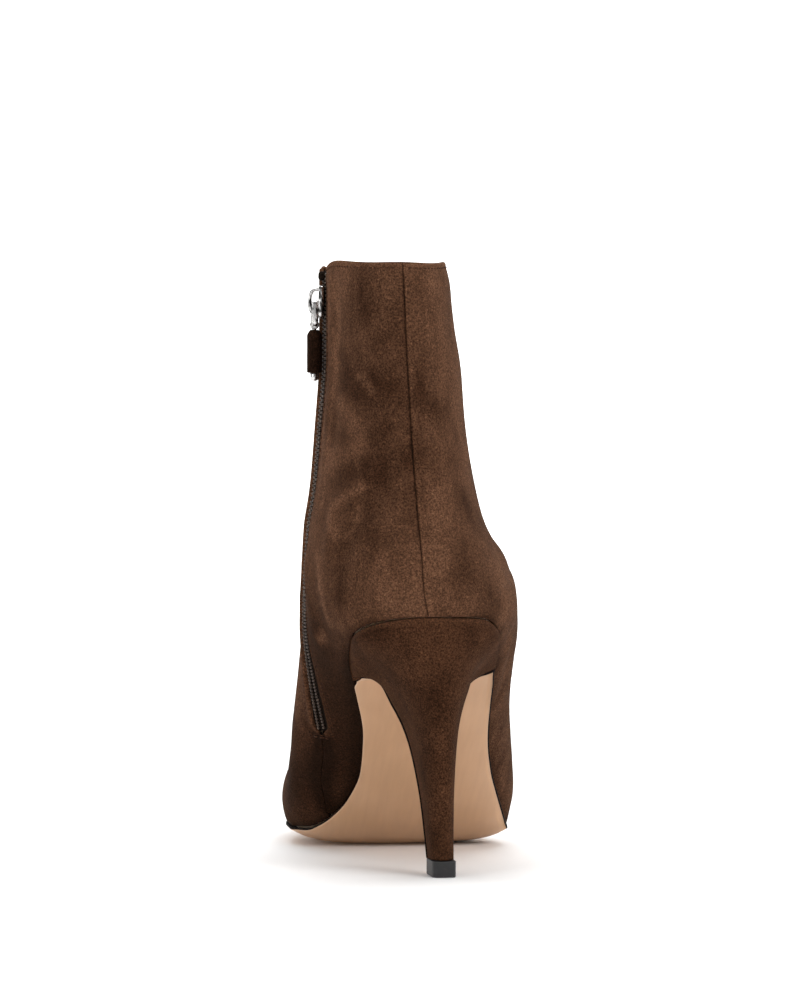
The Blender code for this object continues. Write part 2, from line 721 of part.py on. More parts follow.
def slider_frame():
    """A frame on the zip: X along the pull's hinge, Y out of the boot, Z up the zip."""
    low = 0.0
    high = 1.0
    for _ in range(HALVINGS):
        count = (low + high) / 2
        if zip_point(count, 0.0, 0.0)[2] > BOOT_HEIGHT - SLIDER_DROP:
            low = count
        else:
            high = count
    step = 0.05
    up = Vector(zip_point(low - step, 0.0, 0.0) - zip_point(low + step, 0.0, 0.0)).normalized()
    out = Vector(outward(low, zip_turn(section_at(low)), MEDIAL))
    out = (out - up * out.dot(up)).normalized()
    hinge = out.cross(up)
    frame = bpy.data.objects.new("slider_frame", None)
    frame.parent = boot
    turned_axes = Matrix((hinge, out, up)).transposed().to_4x4()
    frame.matrix_local = Matrix.Translation(Vector(zip_point(low, 0.0, 0.0)) * MM) @ turned_axes
    collection.objects.link(frame)
    return frame


def as_mesh(curve_object):
    """Replace a curve by its mesh, closed, so that it can be joined to other solids."""
    bpy.context.view_layer.update()
    graph = bpy.context.evaluated_depsgraph_get()
    mesh = bpy.data.meshes.new_from_object(curve_object.evaluated_get(graph))
    bm = bmesh.new()
    bm.from_mesh(mesh)
    bmesh.ops.remove_doubles(bm, verts=bm.verts, dist=WELD * MM)
    bmesh.ops.recalc_face_normals(bm, faces=bm.faces)
    name = curve_object.name
    parent = curve_object.parent
    finish = curve_object.data.materials[0]
    bpy.data.objects.remove(curve_object)
    return add_mesh(name, bm, finish, parent, cutters)


def join(made, other):
    """Fuse another solid into a piece and keep it out of the picture."""
    union = made.modifiers.new("join", "BOOLEAN")
    union.operation = "UNION"
    union.solver = "EXACT"
    union.object = other
    other.hide_render = True
    other.display_type = "WIRE"


def build_zip_slider(frame):
    bm = bmesh.new()
    bmesh.ops.create_cube(bm, size=1.0)
    for vertex in bm.verts:
        width = SLIDER_WIDTH if vertex.co.z > 0 else SLIDER_FOOT_WIDTH
        x = vertex.co.x * width
        y = (vertex.co.y + 0.5) * SLIDER_PLATE + GAP
        vertex.co = Vector((x, y, vertex.co.z * SLIDER_LENGTH)) * MM
    slider = add_mesh("zip_slider", bm, METAL, frame)
    rounding = slider.modifiers.new("rounding", "BEVEL")
    rounding.width = SLIDER_ROUNDING * MM
    rounding.segments = SLIDER_ROUNDING_STEPS
    start = GAP + SLIDER_PLATE / 2
    arch = []
    for i in range(CROWN_STEPS + 1):
        angle = math.pi * i / CROWN_STEPS
        out = start + (CROWN_OUT - start) * math.sin(angle) ** 0.5
        arch.append((0.0, out, CROWN_HALF_LENGTH * math.cos(angle)))
    crown = add_curve("slider_crown", [arch], METAL, frame, cutters, closed=False)
    crown.data.bevel_depth = CROWN_RADIUS * MM
    crown.data.bevel_resolution = WIRE_RESOLUTION
    crown.data.use_fill_caps = True
    join(slider, as_mesh(crown))


# Pull link: a wire frame that hangs in the slider's crown
LINK_LENGTH = 8.2
LINK_HALF_WIDTH = 2.3
LINK_WIRE = 0.7
LINK_CORNER = 1.0
LINK_CORNER_STEPS = 4


def build_pull_link(frame):
    points = []
    corners = ((1, 0), (-1, 0), (-1, -1), (1, -1))
    for quarter, (across, down) in enumerate(corners):
        middle_x = across * (LINK_HALF_WIDTH - LINK_CORNER)
        middle_z = -LINK_CORNER if down == 0 else LINK_CORNER - LINK_LENGTH
        for i in range(LINK_CORNER_STEPS + 1):
            angle = QUARTER * (quarter + i / LINK_CORNER_STEPS)
            x = middle_x + LINK_CORNER * math.cos(angle)
            points.append((x, 0.0, middle_z + LINK_CORNER * math.sin(angle)))
    link = add_curve("pull_link", [points], METAL, frame)
    link.data.bevel_depth = LINK_WIRE * MM
    link.data.bevel_resolution = WIRE_RESOLUTION
    link.location.y = HINGE_OUT * MM
    return link


# Pull pin and barrel: a pin with an eye on the link, a round nut below, and a suede barrel
EYE_RADIUS = 1.3
EYE_WIRE = 0.45
EYE_STEPS = 16
EYE_WIRE_STEPS = 8
PIN_RADIUS = 0.7
BARREL_RADIUS = 2.65
BARREL_TOP = 1.8
BARREL_LENGTH = 15.4
BARREL_ROUNDING = 0.5
BARREL_NECK = 1.5
BARREL_SHOULDER = 2.2
NUT_RADIUS = 1.7
NUT_HEIGHT = 2.7
NUT_STEPS = 6
TURNED_STEPS = 20


def turned(name, profile, finish, parent, group=collection, closed=False):
    """A solid turned about Z from a profile of (radius, height) in millimetres."""
    mesh = bpy.data.meshes.new(name)
    edges = [(i, i + 1) for i in range(len(profile) - 1)]
    if closed:
        edges.append((len(profile) - 1, 0))
    mesh.from_pydata([Vector((radius, 0.0, z)) * MM for radius, z in profile], edges, [])
    made = bpy.data.objects.new(name, mesh)
    made.data.materials.append(finish)
    made.parent = parent
    group.objects.link(made)
    screw = made.modifiers.new("turn", "SCREW")
    screw.axis = "Z"
    screw.steps = TURNED_STEPS
    screw.render_steps = TURNED_STEPS
    screw.use_merge_vertices = True
    screw.merge_threshold = SMALL * MM
    screw.use_normal_calculate = True
    return made


def build_pull_pin(link):
    hinge = bpy.data.objects.new("pin_hinge", None)
    hinge.parent = link
    hinge.location.z = -LINK_LENGTH * MM
    collection.objects.link(hinge)
    nut_middle = -BARREL_TOP - BARREL_LENGTH - GAP - NUT_HEIGHT / 2
    profile = [(0.0, -EYE_RADIUS), (PIN_RADIUS, -EYE_RADIUS)]
    for i in range(1, NUT_STEPS):
        angle = QUARTER - math.pi * i / NUT_STEPS
        rise = NUT_HEIGHT / 2 * math.sin(angle)
        profile.append((NUT_RADIUS * math.cos(angle), nut_middle + rise))
    profile.append((0.0, nut_middle - NUT_HEIGHT / 2))
    pin = turned("pull_pin", profile, METAL, hinge)
    bpy.ops.mesh.primitive_torus_add(
        major_radius=EYE_RADIUS * MM,
        minor_radius=EYE_WIRE * MM,
        major_segments=EYE_STEPS,
        minor_segments=EYE_WIRE_STEPS,
        rotation=(0.0, QUARTER, 0.0),
    )
    eye = bpy.context.object
    eye.name = "pin_eye"
    eye.parent = hinge
    for group in list(eye.users_collection):
        group.objects.unlink(eye)
    cutters.objects.link(eye)
    join(pin, eye)
    barrel_bottom = -BARREL_TOP - BARREL_LENGTH
    bore = PIN_RADIUS + GAP
    barrel = [
        (bore, -BARREL_TOP),
        (BARREL_NECK, -BARREL_TOP),
        (BARREL_RADIUS, -BARREL_TOP - BARREL_SHOULDER),
        (BARREL_RADIUS, barrel_bottom + BARREL_ROUNDING),
        (BARREL_RADIUS - BARREL_ROUNDING, barrel_bottom),
        (bore, barrel_bottom),
    ]
    turned("pull_barrel", barrel, SUEDE, hinge, closed=True)


def centre_boot():
    """Move the whole boot so that its box stands centred on the origin."""
    bpy.context.view_layer.update()
    graph = bpy.context.evaluated_depsgraph_get()
    corners = []
    for made in collection.objects:
        if made.type == "EMPTY":
            continue
        mesh = made.evaluated_get(graph).to_mesh()
        corners += [made.matrix_world @ vertex.co for vertex in mesh.vertices]
    for axis in (0, 1):
        spread = [corner[axis] for corner in corners]
        boot.location[axis] = -(min(spread) + max(spread)) / 2


build_upper()
build_insole()
build_heel()
build_outsole()
build_top_lift()
build_zip_chain()
slider_place = slider_frame()
build_zip_slider(slider_place)
build_pull_pin(build_pull_link(slider_place))
centre_boot()
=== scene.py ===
"""Looks of a high-heeled suede ankle boot for the right foot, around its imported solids."""

import json
import math
from collections import namedtuple

import bmesh
import bpy
import numpy as np
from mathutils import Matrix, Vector, noise


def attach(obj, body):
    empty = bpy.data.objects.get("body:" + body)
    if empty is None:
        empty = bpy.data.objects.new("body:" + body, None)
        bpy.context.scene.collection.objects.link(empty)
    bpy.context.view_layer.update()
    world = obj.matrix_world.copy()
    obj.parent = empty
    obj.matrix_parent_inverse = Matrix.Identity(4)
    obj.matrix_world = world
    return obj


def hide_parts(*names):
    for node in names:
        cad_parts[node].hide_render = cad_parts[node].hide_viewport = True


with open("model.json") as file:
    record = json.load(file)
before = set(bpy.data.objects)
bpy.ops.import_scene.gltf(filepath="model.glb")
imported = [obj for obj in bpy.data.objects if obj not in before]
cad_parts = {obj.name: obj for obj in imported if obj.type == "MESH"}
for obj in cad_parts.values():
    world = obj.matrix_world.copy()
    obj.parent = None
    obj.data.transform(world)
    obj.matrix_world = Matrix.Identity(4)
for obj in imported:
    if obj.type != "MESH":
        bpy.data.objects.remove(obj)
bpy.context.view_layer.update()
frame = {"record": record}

# Upper: brown suede cut as quarters and a vamp, closed by a seam down the back and lasted
# over the foot. Its edges are folded in at the topline and beside the zip on the inner side.
MM = 0.001
LENGTH = 238.0
BALL_WIDTH = 87.0
SEAT_HEIGHT = 90.5
INSTEP_HEIGHT = 121.0
BOOT_HEIGHT = 214.0
ZIP_SLOT_WIDTH = 6.0
QUARTER = math.pi / 2
MEDIAL = -1
LATERAL = 1

# The frame's origin in the last's own millimetres, which start at the back of the heel
ORIGIN = np.array((2.457, 120.567, 0.0))

# The last's bottom. Shares are in percent: along of LENGTH, rise of SEAT_HEIGHT,
# medial and lateral (left and right edges) of BALL_WIDTH.
BottomRow = namedtuple("BottomRow", "along rise medial lateral")
BOTTOM = [
    BottomRow(1.3, 100.0, -35.4, 20.6),
    BottomRow(11.8, 92.3, -34.5, 26.0),
    BottomRow(21.0, 81.2, -31.8, 28.9),
    BottomRow(29.4, 67.4, -25.0, 30.8),
    BottomRow(37.8, 49.7, -19.2, 33.4),
    BottomRow(44.1, 34.8, -18.0, 37.7),
    BottomRow(49.6, 22.1, -21.6, 43.5),
    BottomRow(54.6, 11.7, -29.8, 48.7),
    BottomRow(59.7, 5.1, -37.4, 52.0),
    BottomRow(63.9, 3.87, -41.8, 51.2),
    BottomRow(69.3, 3.87, -41.6, 47.3),
    BottomRow(74.8, 4.6, -38.8, 41.6),
    BottomRow(81.9, 6.6, -32.8, 32.2),
    BottomRow(89.5, 9.8, -23.0, 19.5),
    BottomRow(100.0, 14.8, -12.6, 5.7),
]

# How far the tread's edges curl up off the flat, from heel to toe. rise is of SEAT_HEIGHT.
CurlRow = namedtuple("CurlRow", "along rise")
EDGE_CURL = [
    CurlRow(0.0, 0.0),
    CurlRow(53.0, 0.0),
    CurlRow(57.0, 1.3),
    CurlRow(60.0, 3.0),
    CurlRow(65.0, 4.0),
    CurlRow(72.0, 4.2),
    CurlRow(82.0, 3.0),
    CurlRow(92.0, 1.2),
    CurlRow(100.0, 0.0),
]

# Sections of the shaft, from the collar down, and then of the foot, from seat to toe
ShaftRow = namedtuple(
    "ShaftRow",
    "name back_along back_rise back_x front_along front_rise front_x medial lateral wide curl",
)
SHAFT = [
    ShaftRow("collar", 3.4, 200, -17.0, 44.1, 200, -16.9, -41.7, 7.8, 50, 90),
    ShaftRow("shaft", 4.0, 176, -15.2, 43.6, 169, -14.7, -41.7, 13.2, 50, 90),
    ShaftRow("shaft_low", 3.9, 151, -13.2, 43.5, 142, -13.1, -44.0, 16.6, 50, 90),
    ShaftRow("ankle", 2.6, 130, -11.4, 44.1, 124, -11.3, -45.9, 20.9, 50, 90),
    ShaftRow("counter", 1.0, 117, -10.3, 45.0, 111, -9.7, -48.3, 25.2, 49, 90),
    ShaftRow("counter_low", 0.8, 106, -9.3, 45.6, 104, -8.3, -49.0, 32.2, 48, 90),
]
FootRow = namedtuple("FootRow", "name along front_along front_rise front_x medial lateral wide curl")
FOOT = [
    FootRow("seat_back", 1.3, 46.2, 100, -7.6, -49.2, 36.0, 48, 90),
    FootRow("seat", 11.8, 47.9, 93, -5.7, -48.3, 40.5, 45, 50),
    FootRow("breast", 21.0, 50.4, 86, -4.0, -47.4, 43.4, 42, 50),
    FootRow("shank", 29.4, 54.0, 78, -2.3, -46.2, 44.8, 40, 54),
    FootRow("waist", 37.8, 58.6, 68, -1.1, -45.8, 46.6, 36, 60),
    FootRow("waist_front", 44.1, 62.6, 60, 0.0, -45.8, 49.4, 33, 62),
    FootRow("ball_back", 49.6, 66.6, 54, 0.0, -45.2, 52.4, 30, 60),
    FootRow("ball_lateral", 54.6, 70.4, 48, 0.0, -45.0, 54.6, 27, 58),
    FootRow("ball", 59.7, 73.9, 43, -0.6, -44.6, 54.0, 24, 56),
    FootRow("ball_medial", 65.1, 77.9, 38, -1.1, -44.0, 51.2, 22, 56),
    FootRow("vamp", 73.5, 84.0, 31, -1.7, -41.6, 44.2, 22, 56),
    FootRow("toe_box", 81.9, 89.9, 26, -2.3, -35.0, 34.3, 24, 56),
    FootRow("toe", 89.5, 95.0, 21.5, -2.9, -25.8, 22.2, 26, 56),
    FootRow("tip", 100.0, 102.0, 19, -3.4, -15.4, 8.4, 30, 56),
]

# The zip's middle line, and the seam below it, from the sole up. rise is of BOOT_HEIGHT.
ZipRow = namedtuple("ZipRow", "rise along")
ZIP_LINE = [
    ZipRow(4.0, 54.8),
    ZipRow(12.0, 49.8),
    ZipRow(18.7, 44.0),
    ZipRow(24.5, 40.0),
    ZipRow(32.5, 35.4),
    ZipRow(39.5, 31.9),
    ZipRow(45.5, 28.8),
    ZipRow(51.0, 26.3),
    ZipRow(57.5, 24.6),
    ZipRow(73.0, 23.8),
    ZipRow(100.0, 23.7),
]


def smooth_curve(places, values, stops_at_end=False):
    """A monotone cubic through the rows of a table, as a function of place."""
    xs = np.asarray(places, float)
    ys = np.asarray(values, float)
    steps = np.diff(xs)
    slopes = np.diff(ys) / steps
    tangents = np.zeros_like(ys)
    tangents[0] = slopes[0]
    tangents[-1] = 0.0 if stops_at_end else slopes[-1]
    for i in range(1, len(ys) - 1):
        if slopes[i - 1] * slopes[i] > 0:
            before = 2 * steps[i] + steps[i - 1]
            after = steps[i] + 2 * steps[i - 1]
            tangents[i] = (before + after) / (before / slopes[i - 1] + after / slopes[i])

    def value(x):
        x = np.asarray(x, float)
        i = np.clip(np.searchsorted(xs, x, side="right") - 1, 0, len(steps) - 1)
        u = (x - xs[i]) / steps[i]
        start = (1 + 2 * u) * (1 - u) ** 2 * ys[i] + u * (1 - u) ** 2 * steps[i] * tangents[i]
        end = u * u * (3 - 2 * u) * ys[i + 1] + u * u * (u - 1) * steps[i] * tangents[i + 1]
        return start + end

    return value


def column(rows, name, unit):
    return [getattr(row, name) * unit / 100 for row in rows]


BOTTOM_PLACES = column(BOTTOM, "along", LENGTH)
bottom_height = smooth_curve(BOTTOM_PLACES, column(BOTTOM, "rise", SEAT_HEIGHT))
bottom_medial = smooth_curve(BOTTOM_PLACES, column(BOTTOM, "medial", BALL_WIDTH))
bottom_lateral = smooth_curve(BOTTOM_PLACES, column(BOTTOM, "lateral", BALL_WIDTH))
edge_curl = smooth_curve(
    column(EDGE_CURL, "along", LENGTH), column(EDGE_CURL, "rise", SEAT_HEIGHT), stops_at_end=True
)
HEEL_BACK = BOTTOM_PLACES[0]
SEAT_CAP_END = BOTTOM_PLACES[1]
TOE_CAP_START = BOTTOM_PLACES[-2]


def outline(y, margin=0.0):
    """Medial and lateral edge of the last's bottom at y, grown all round by margin."""
    middle = (bottom_medial(y) + bottom_lateral(y)) / 2
    half = (bottom_lateral(y) - bottom_medial(y)) / 2 + margin
    into_heel = np.clip((SEAT_CAP_END - y) / (SEAT_CAP_END - HEEL_BACK + margin), 0, 1)
    into_toe = np.clip((y - TOE_CAP_START) / (LENGTH + margin - TOE_CAP_START), 0, 1)
    half = half * np.sqrt(1 - into_heel**2) * np.sqrt(1 - into_toe**2)
    return middle - half, middle + half


SEAT_BACK = len(SHAFT)
SEAT = SEAT_BACK + 1
TIP = len(SHAFT) + len(FOOT) - 1
TOE = TIP - 1
ALL_ROWS = SHAFT + FOOT
COUNTS = list(range(len(ALL_ROWS)))


def climb(share, middle_height):
    """A height from the floor (0) by the seat or instep (100) to the collar (200)."""
    if share <= 100:
        return middle_height * share / 100
    return middle_height + (BOOT_HEIGHT - middle_height) * (share - 100) / 100


SEAT_MIDDLE = float(sum(outline(HEEL_BACK))) / 2
back_y = column(SHAFT, "back_along", LENGTH) + [HEEL_BACK]
back_z = [climb(row.back_rise, SEAT_HEIGHT) for row in SHAFT] + [SEAT_HEIGHT]
back_x = column(SHAFT, "back_x", BALL_WIDTH) + [SEAT_MIDDLE]
shaft_back_y = smooth_curve(COUNTS[:SEAT], back_y, stops_at_end=True)
shaft_back_z = smooth_curve(COUNTS[:SEAT], back_z, stops_at_end=True)
shaft_back_x = smooth_curve(COUNTS[:SEAT], back_x, stops_at_end=True)
foot_y = smooth_curve(COUNTS[SEAT_BACK:], column(FOOT, "along", LENGTH))
ridge_y = smooth_curve(COUNTS, column(ALL_ROWS, "front_along", LENGTH))
ridge_z = smooth_curve(COUNTS, [climb(row.front_rise, INSTEP_HEIGHT) for row in ALL_ROWS])
ridge_x = smooth_curve(COUNTS, column(ALL_ROWS, "front_x", BALL_WIDTH))
edge_x = {
    MEDIAL: smooth_curve(COUNTS, column(ALL_ROWS, "medial", BALL_WIDTH)),
    LATERAL: smooth_curve(COUNTS, column(ALL_ROWS, "lateral", BALL_WIDTH)),
}
wide_share = smooth_curve(COUNTS, column(ALL_ROWS, "wide", 1.0))
curl_angle = smooth_curve(COUNTS, [math.radians(row.curl) for row in ALL_ROWS])
zip_y = smooth_curve(column(ZIP_LINE, "rise", BOOT_HEIGHT), column(ZIP_LINE, "along", LENGTH))


def foot_place(count, margin=0.0):
    """The place along the bottom at a section, with the heel and toe ends grown by margin."""
    heel_reach = SEAT_CAP_END - HEEL_BACK + margin
    toe_reach = LENGTH + margin - TOE_CAP_START
    round_heel = SEAT_CAP_END - heel_reach * np.cos(QUARTER * (count - SEAT_BACK))
    round_toe = TOE_CAP_START + toe_reach * np.sin(QUARTER * (count - TOE))
    return np.where(count < SEAT, round_heel, np.where(count > TOE, round_toe, foot_y(count)))


Section = namedtuple("Section", "back_y back_z front_y front_z start edge front_x wide curl")


def section_at(count, side):
    """The upper's sections on one side, counted in table rows from the collar to the toe."""
    on_shaft = count <= SEAT_BACK
    along = foot_place(count)
    y = np.where(on_shaft, shaft_back_y(count), along)
    z = np.where(on_shaft, shaft_back_z(count), bottom_height(along) + edge_curl(along))
    feather = dict(zip((MEDIAL, LATERAL), outline(along)))
    start = np.where(on_shaft, shaft_back_x(count), feather[side])
    nose = np.where(count > TOE, np.cos(QUARTER * np.clip(count - TOE, 0, 1)), 1.0)
    middle = np.where(count > TOE, (feather[MEDIAL] + feather[LATERAL]) / 2, 0.0)
    into_seat = np.sin(QUARTER * np.clip(count - SEAT_BACK, 0, 1))
    seat_curl = np.arccos(into_seat * math.cos(curl_angle(SEAT)))
    return Section(
        y,
        z,
        y + (ridge_y(count) - y) * nose,
        z + (ridge_z(count) - z) * nose,
        start,
        middle + (edge_x[side](count) - middle) * nose,
        middle + (ridge_x(count) - middle) * nose,
        wide_share(count),
        np.where((count > SEAT_BACK) & (count < SEAT), seat_curl, curl_angle(count)),
    )


def wall(count, turn, side):
    """Points of the wall: turn is -1 at the start, 0 at the widest line, 1 on the front ridge."""
    cut = section_at(count, side)
    under = -turn * cut.curl
    reach = (np.cos(under) - np.cos(cut.curl)) / (1 - np.cos(cut.curl))
    low_share = cut.wide * (1 - np.sin(under) / np.sin(cut.curl))
    low_x = cut.start + (cut.edge - cut.start) * reach
    high_share = cut.wide + (1 - cut.wide) * np.sin(turn * QUARTER)
    high_x = cut.front_x + (cut.edge - cut.front_x) * np.cos(turn * QUARTER)
    share = np.where(turn < 0, low_share, high_share)
    x = np.where(turn < 0, low_x, high_x)
    y = cut.back_y + (cut.front_y - cut.back_y) * share
    z = cut.back_z + (cut.front_z - cut.back_z) * share
    return np.stack(np.broadcast_arrays(x, y, z), axis=-1)


SOFT_SPAN = 0.3
SOFT_CENTRE = SEAT_BACK + 0.4
SOFT_REACH = 2.0
SOFT_TURN = 0.6


def upper_point(count, turn, side):
    """Points of the upper, with the sections round the heel's back eased into each other."""
    near_heel = np.clip(1 - ((count - SOFT_CENTRE) / SOFT_REACH) ** 2, 0, 1)
    span = SOFT_SPAN * near_heel * np.clip((turn + 1) / SOFT_TURN, 0, 1)
    return sum(wall(count + step * span, turn, side) for step in (-1, 0, 1)) / 3


def unit(vectors):
    return vectors / np.maximum(np.linalg.norm(vectors, axis=-1, keepdims=True), 1e-12)


PARAMETER_STEP = 0.01


def wall_frame(count, turn, side):
    """The wall's unit directions: out of the foot, round to the front, and up the rows."""
    low = np.clip(count - PARAMETER_STEP, 0, TIP - 2 * PARAMETER_STEP)
    high = np.minimum(count + PARAMETER_STEP, TIP - PARAMETER_STEP)
    forward = upper_point(count, turn + PARAMETER_STEP, side)
    forward = forward - upper_point(count, turn - PARAMETER_STEP, side)
    upward = upper_point(low, turn, side) - upper_point(high, turn, side)
    return unit(np.cross(forward, upward) * side), unit(forward), unit(upward)


HALVINGS = 30


def zip_turn(count):
    """Where the middle of the zip, or of the seam below it, crosses the sections."""
    cut = section_at(count, MEDIAL)
    low = np.zeros(np.shape(count))
    high = np.ones(np.shape(count))
    for _ in range(HALVINGS):
        share = (low + high) / 2
        y = cut.back_y + (cut.front_y - cut.back_y) * share
        z = cut.back_z + (cut.front_z - cut.back_z) * share
        past = y > zip_y(z)
        high = np.where(past, share, high)
        low = np.where(past, low, share)
    sine_below = np.clip((cut.wide - low) / cut.wide * np.sin(cut.curl), -1, 1)
    sine_above = np.clip((low - cut.wide) / (1 - cut.wide), -1, 1)
    below = -np.arcsin(sine_below) / cut.curl
    return np.where(low < cut.wide, below, np.arcsin(sine_above) / QUARTER)


ZIP_END = 10.3
ZIP_CLOSES_OVER = 0.22
TOP_ROLL = 1.0
FIRST_DROP = BOOT_HEIGHT - float(shaft_back_z(1))
TOP_COUNT = TOP_ROLL / FIRST_DROP
FINE_TOP = 7.0
FINE_TOP_ROWS = 14
SHAFT_ROWS = 78
SEAT_ROWS = 22
FOOT_ROWS = 92
TOE_ROWS = 22
BEHIND_COLUMNS = 60
BEFORE_COLUMNS = 56
LATERAL_COLUMNS = 96
ARC_SAMPLES = 241
CROWDING = 0.78


def upper_counts():
    """Sections from the topline to the toe, closest below the topline."""
    fine_end = TOP_COUNT + FINE_TOP / FIRST_DROP
    return np.concatenate(
        (
            np.linspace(TOP_COUNT, fine_end, FINE_TOP_ROWS)[:-1],
            np.linspace(fine_end, SEAT_BACK, SHAFT_ROWS)[:-1],
            np.linspace(SEAT_BACK, SEAT, SEAT_ROWS)[:-1],
            np.linspace(SEAT, TOE, FOOT_ROWS)[:-1],
            np.linspace(TOE, TIP - PARAMETER_STEP, TOE_ROWS),
        )
    )


def walked(points, axis=0):
    """Distances from the start of lines of points that run along an axis."""
    steps = np.linalg.norm(np.diff(points, axis=axis), axis=-1)
    return np.insert(np.cumsum(steps, axis=axis), 0, 0.0, axis=axis)


def arc_lengths(counts, side):
    """Distances round each section from its start to the front ridge, at even turns."""
    turns = np.linspace(-1, 1, ARC_SAMPLES)
    return turns, walked(upper_point(counts[:, None], turns[None, :], side), axis=1)


def turns_at(turns, arcs, distances):
    """The turn of the wall at distances round each section."""
    return np.array([np.interp(row, arc, turns) for row, arc in zip(distances, arcs)])


def crowded(steps, both_ends):
    """Even shares from 0 to 1, drawn together at the start, or at both ends."""
    even = np.linspace(0, 1, steps + 1)
    waves = 2 if both_ends else 1
    return even - CROWDING * np.sin(waves * math.pi * even) / (waves * math.pi)


# Radius of the folded edges beside the zip, at the closed seams below it and down the back,
# and where the upper turns under at the sole
ZIP_ROLL = 0.9
SEAM_ROLL = 0.45
FEATHER_ROLL = 0.7
ROLL_STEPS = 5
ROLL_DEPTH = 0.7

counts = upper_counts()
medial_turns, medial_arcs = arc_lengths(counts, MEDIAL)
lateral_turns, lateral_arcs = arc_lengths(counts, LATERAL)
zip_turns = zip_turn(counts)
zip_arcs = np.array([np.interp(t, medial_turns, arc) for t, arc in zip(zip_turns, medial_arcs)])
closing = np.clip((ZIP_END - counts) / ZIP_CLOSES_OVER, 0, 1)
slot_half = ZIP_SLOT_WIDTH / 2 * closing * (2 - closing)
slot_roll = SEAM_ROLL + (ZIP_ROLL - SEAM_ROLL) * closing
start_roll = np.where(counts <= SEAT_BACK, SEAM_ROLL, FEATHER_ROLL)
behind_width = zip_arcs - slot_half - slot_roll - start_roll
LEAST_PANEL = 0.8
behind_rows = int(np.argmax(behind_width < LEAST_PANEL))
seam_reached = np.arange(len(counts)) >= behind_rows
before_start = np.where(seam_reached, FEATHER_ROLL, zip_arcs + slot_half + slot_roll)
before_roll = np.where(seam_reached, FEATHER_ROLL, slot_roll)

behind_arcs = start_roll[:, None] + behind_width[:, None] * crowded(BEHIND_COLUMNS, True)
before_width = medial_arcs[:, -1] - before_start
before_arcs = before_start[:, None] + before_width[:, None] * crowded(BEFORE_COLUMNS, False)
lateral_width = lateral_arcs[:, -1] - start_roll
outer_arcs = start_roll[:, None] + lateral_width[:, None] * crowded(LATERAL_COLUMNS, False)
outer_arcs = outer_arcs[:, ::-1]

Patch = namedtuple("Patch", "points out forward up")


def wall_patch(rows, turns, side):
    """Points and directions of the wall at every section and turn of a panel."""
    return Patch(upper_point(rows, turns, side), *wall_frame(rows, turns, side))


def joined(first, second):
    return Patch(*(np.concatenate(pair, axis=1) for pair in zip(first, second)))


behind = wall_patch(
    counts[:behind_rows, None],
    turns_at(medial_turns, medial_arcs, behind_arcs)[:behind_rows],
    MEDIAL,
)
before = wall_patch(counts[:, None], turns_at(medial_turns, medial_arcs, before_arcs), MEDIAL)
outer = wall_patch(
    counts[:, None], turns_at(lateral_turns, lateral_arcs, outer_arcs)[:, 1:], LATERAL
)
outer = outer._replace(forward=-outer.forward)
front = joined(before, outer)

# Soft folds placed as seen from one side: across or along the boot and above the floor,
# in millimetres. A trough has a depth below zero, and a ridge one above it.
Fold = namedtuple("Fold", "seen points width depth")
FOLDS = [
    Fold("inner", [(44, 207), (43, 180), (42, 150)], 3.2, 0.55),
    Fold("inner", [(50, 205), (49.5, 175), (48.5, 140)], 2.4, -0.45),
    Fold("inner", [(36, 203), (35, 178), (36, 158)], 4.0, -0.5),
    Fold("back", [(-38.5, 114), (-36.5, 127), (-31, 135), (-24, 140)], 3.6, 0.8),
    Fold("back", [(-34, 111), (-31.5, 122), (-27, 130), (-20, 134)], 3.6, -0.8),
    Fold("back", [(-39, 150), (-34, 158), (-26, 162)], 5.0, -0.6),
    Fold("inner", [(52, 110), (54, 96), (60, 84)], 4.5, 0.8),
    Fold("inner", [(40, 104), (44, 92), (52, 80)], 5.0, -0.6),
    Fold("inner", [(84, 92), (93, 78), (100, 66)], 6.0, -0.7),
    Fold("outer", [(60, 130), (76, 122), (92, 120)], 6.0, -0.8),
    Fold("outer", [(48, 112), (62, 104), (80, 103)], 6.0, 0.7),
    Fold("outer", [(26, 207), (46, 206), (66, 207)], 5.0, 0.5),
    Fold("outer", [(24, 192), (40, 190), (60, 193)], 6.0, -0.2),
    Fold("outer", [(22, 179), (40, 178), (58, 180)], 9.0, 0.3),
    Fold("outer", [(18, 115), (36, 116), (58, 114)], 8.0, 1.1),
    Fold("outer", [(58, 78), (68, 70), (78, 60)], 3.2, -0.5),
    Fold("outer", [(50, 80), (60, 72), (70, 62)], 3.2, 0.45),
    Fold("front", [(-22, 118), (-6, 121), (12, 118)], 6.0, -0.9),
    Fold("front", [(-20, 130), (-4, 133), (16, 129)], 7.0, 0.6),
]
SEEN_FROM = {
    "back": ((0, 2), np.array((0.0, -1.0, 0.0))),
    "front": ((0, 1), np.array((0.0, 0.35, 0.94))),
    "inner": ((1, 2), np.array((-1.0, 0.0, 0.0))),
    "outer": ((1, 2), np.array((1.0, 0.0, 0.0))),
}
FACING = 0.2
SAMPLES_PER_STRETCH = 14


def line_on_upper(seen, points):
    """A line drawn as seen from one side, laid on the upper's surface."""
    axes, direction = SEEN_FROM[seen]
    surface = np.concatenate([patch.points.reshape(-1, 3) for patch in (behind, front)])
    out = np.concatenate([patch.out.reshape(-1, 3) for patch in (behind, front)])
    surface = surface[out @ direction > FACING]
    flat = surface[:, axes]
    corners = np.asarray(points, float)
    at = np.linspace(0, len(corners) - 1, SAMPLES_PER_STRETCH * (len(corners) - 1) + 1)
    places = range(len(corners))
    chart = np.stack([smooth_curve(places, corners[:, i])(at) for i in (0, 1)], axis=-1)
    nearest = [np.argmin(((flat - spot) ** 2).sum(axis=1)) for spot in chart]
    return surface[nearest]


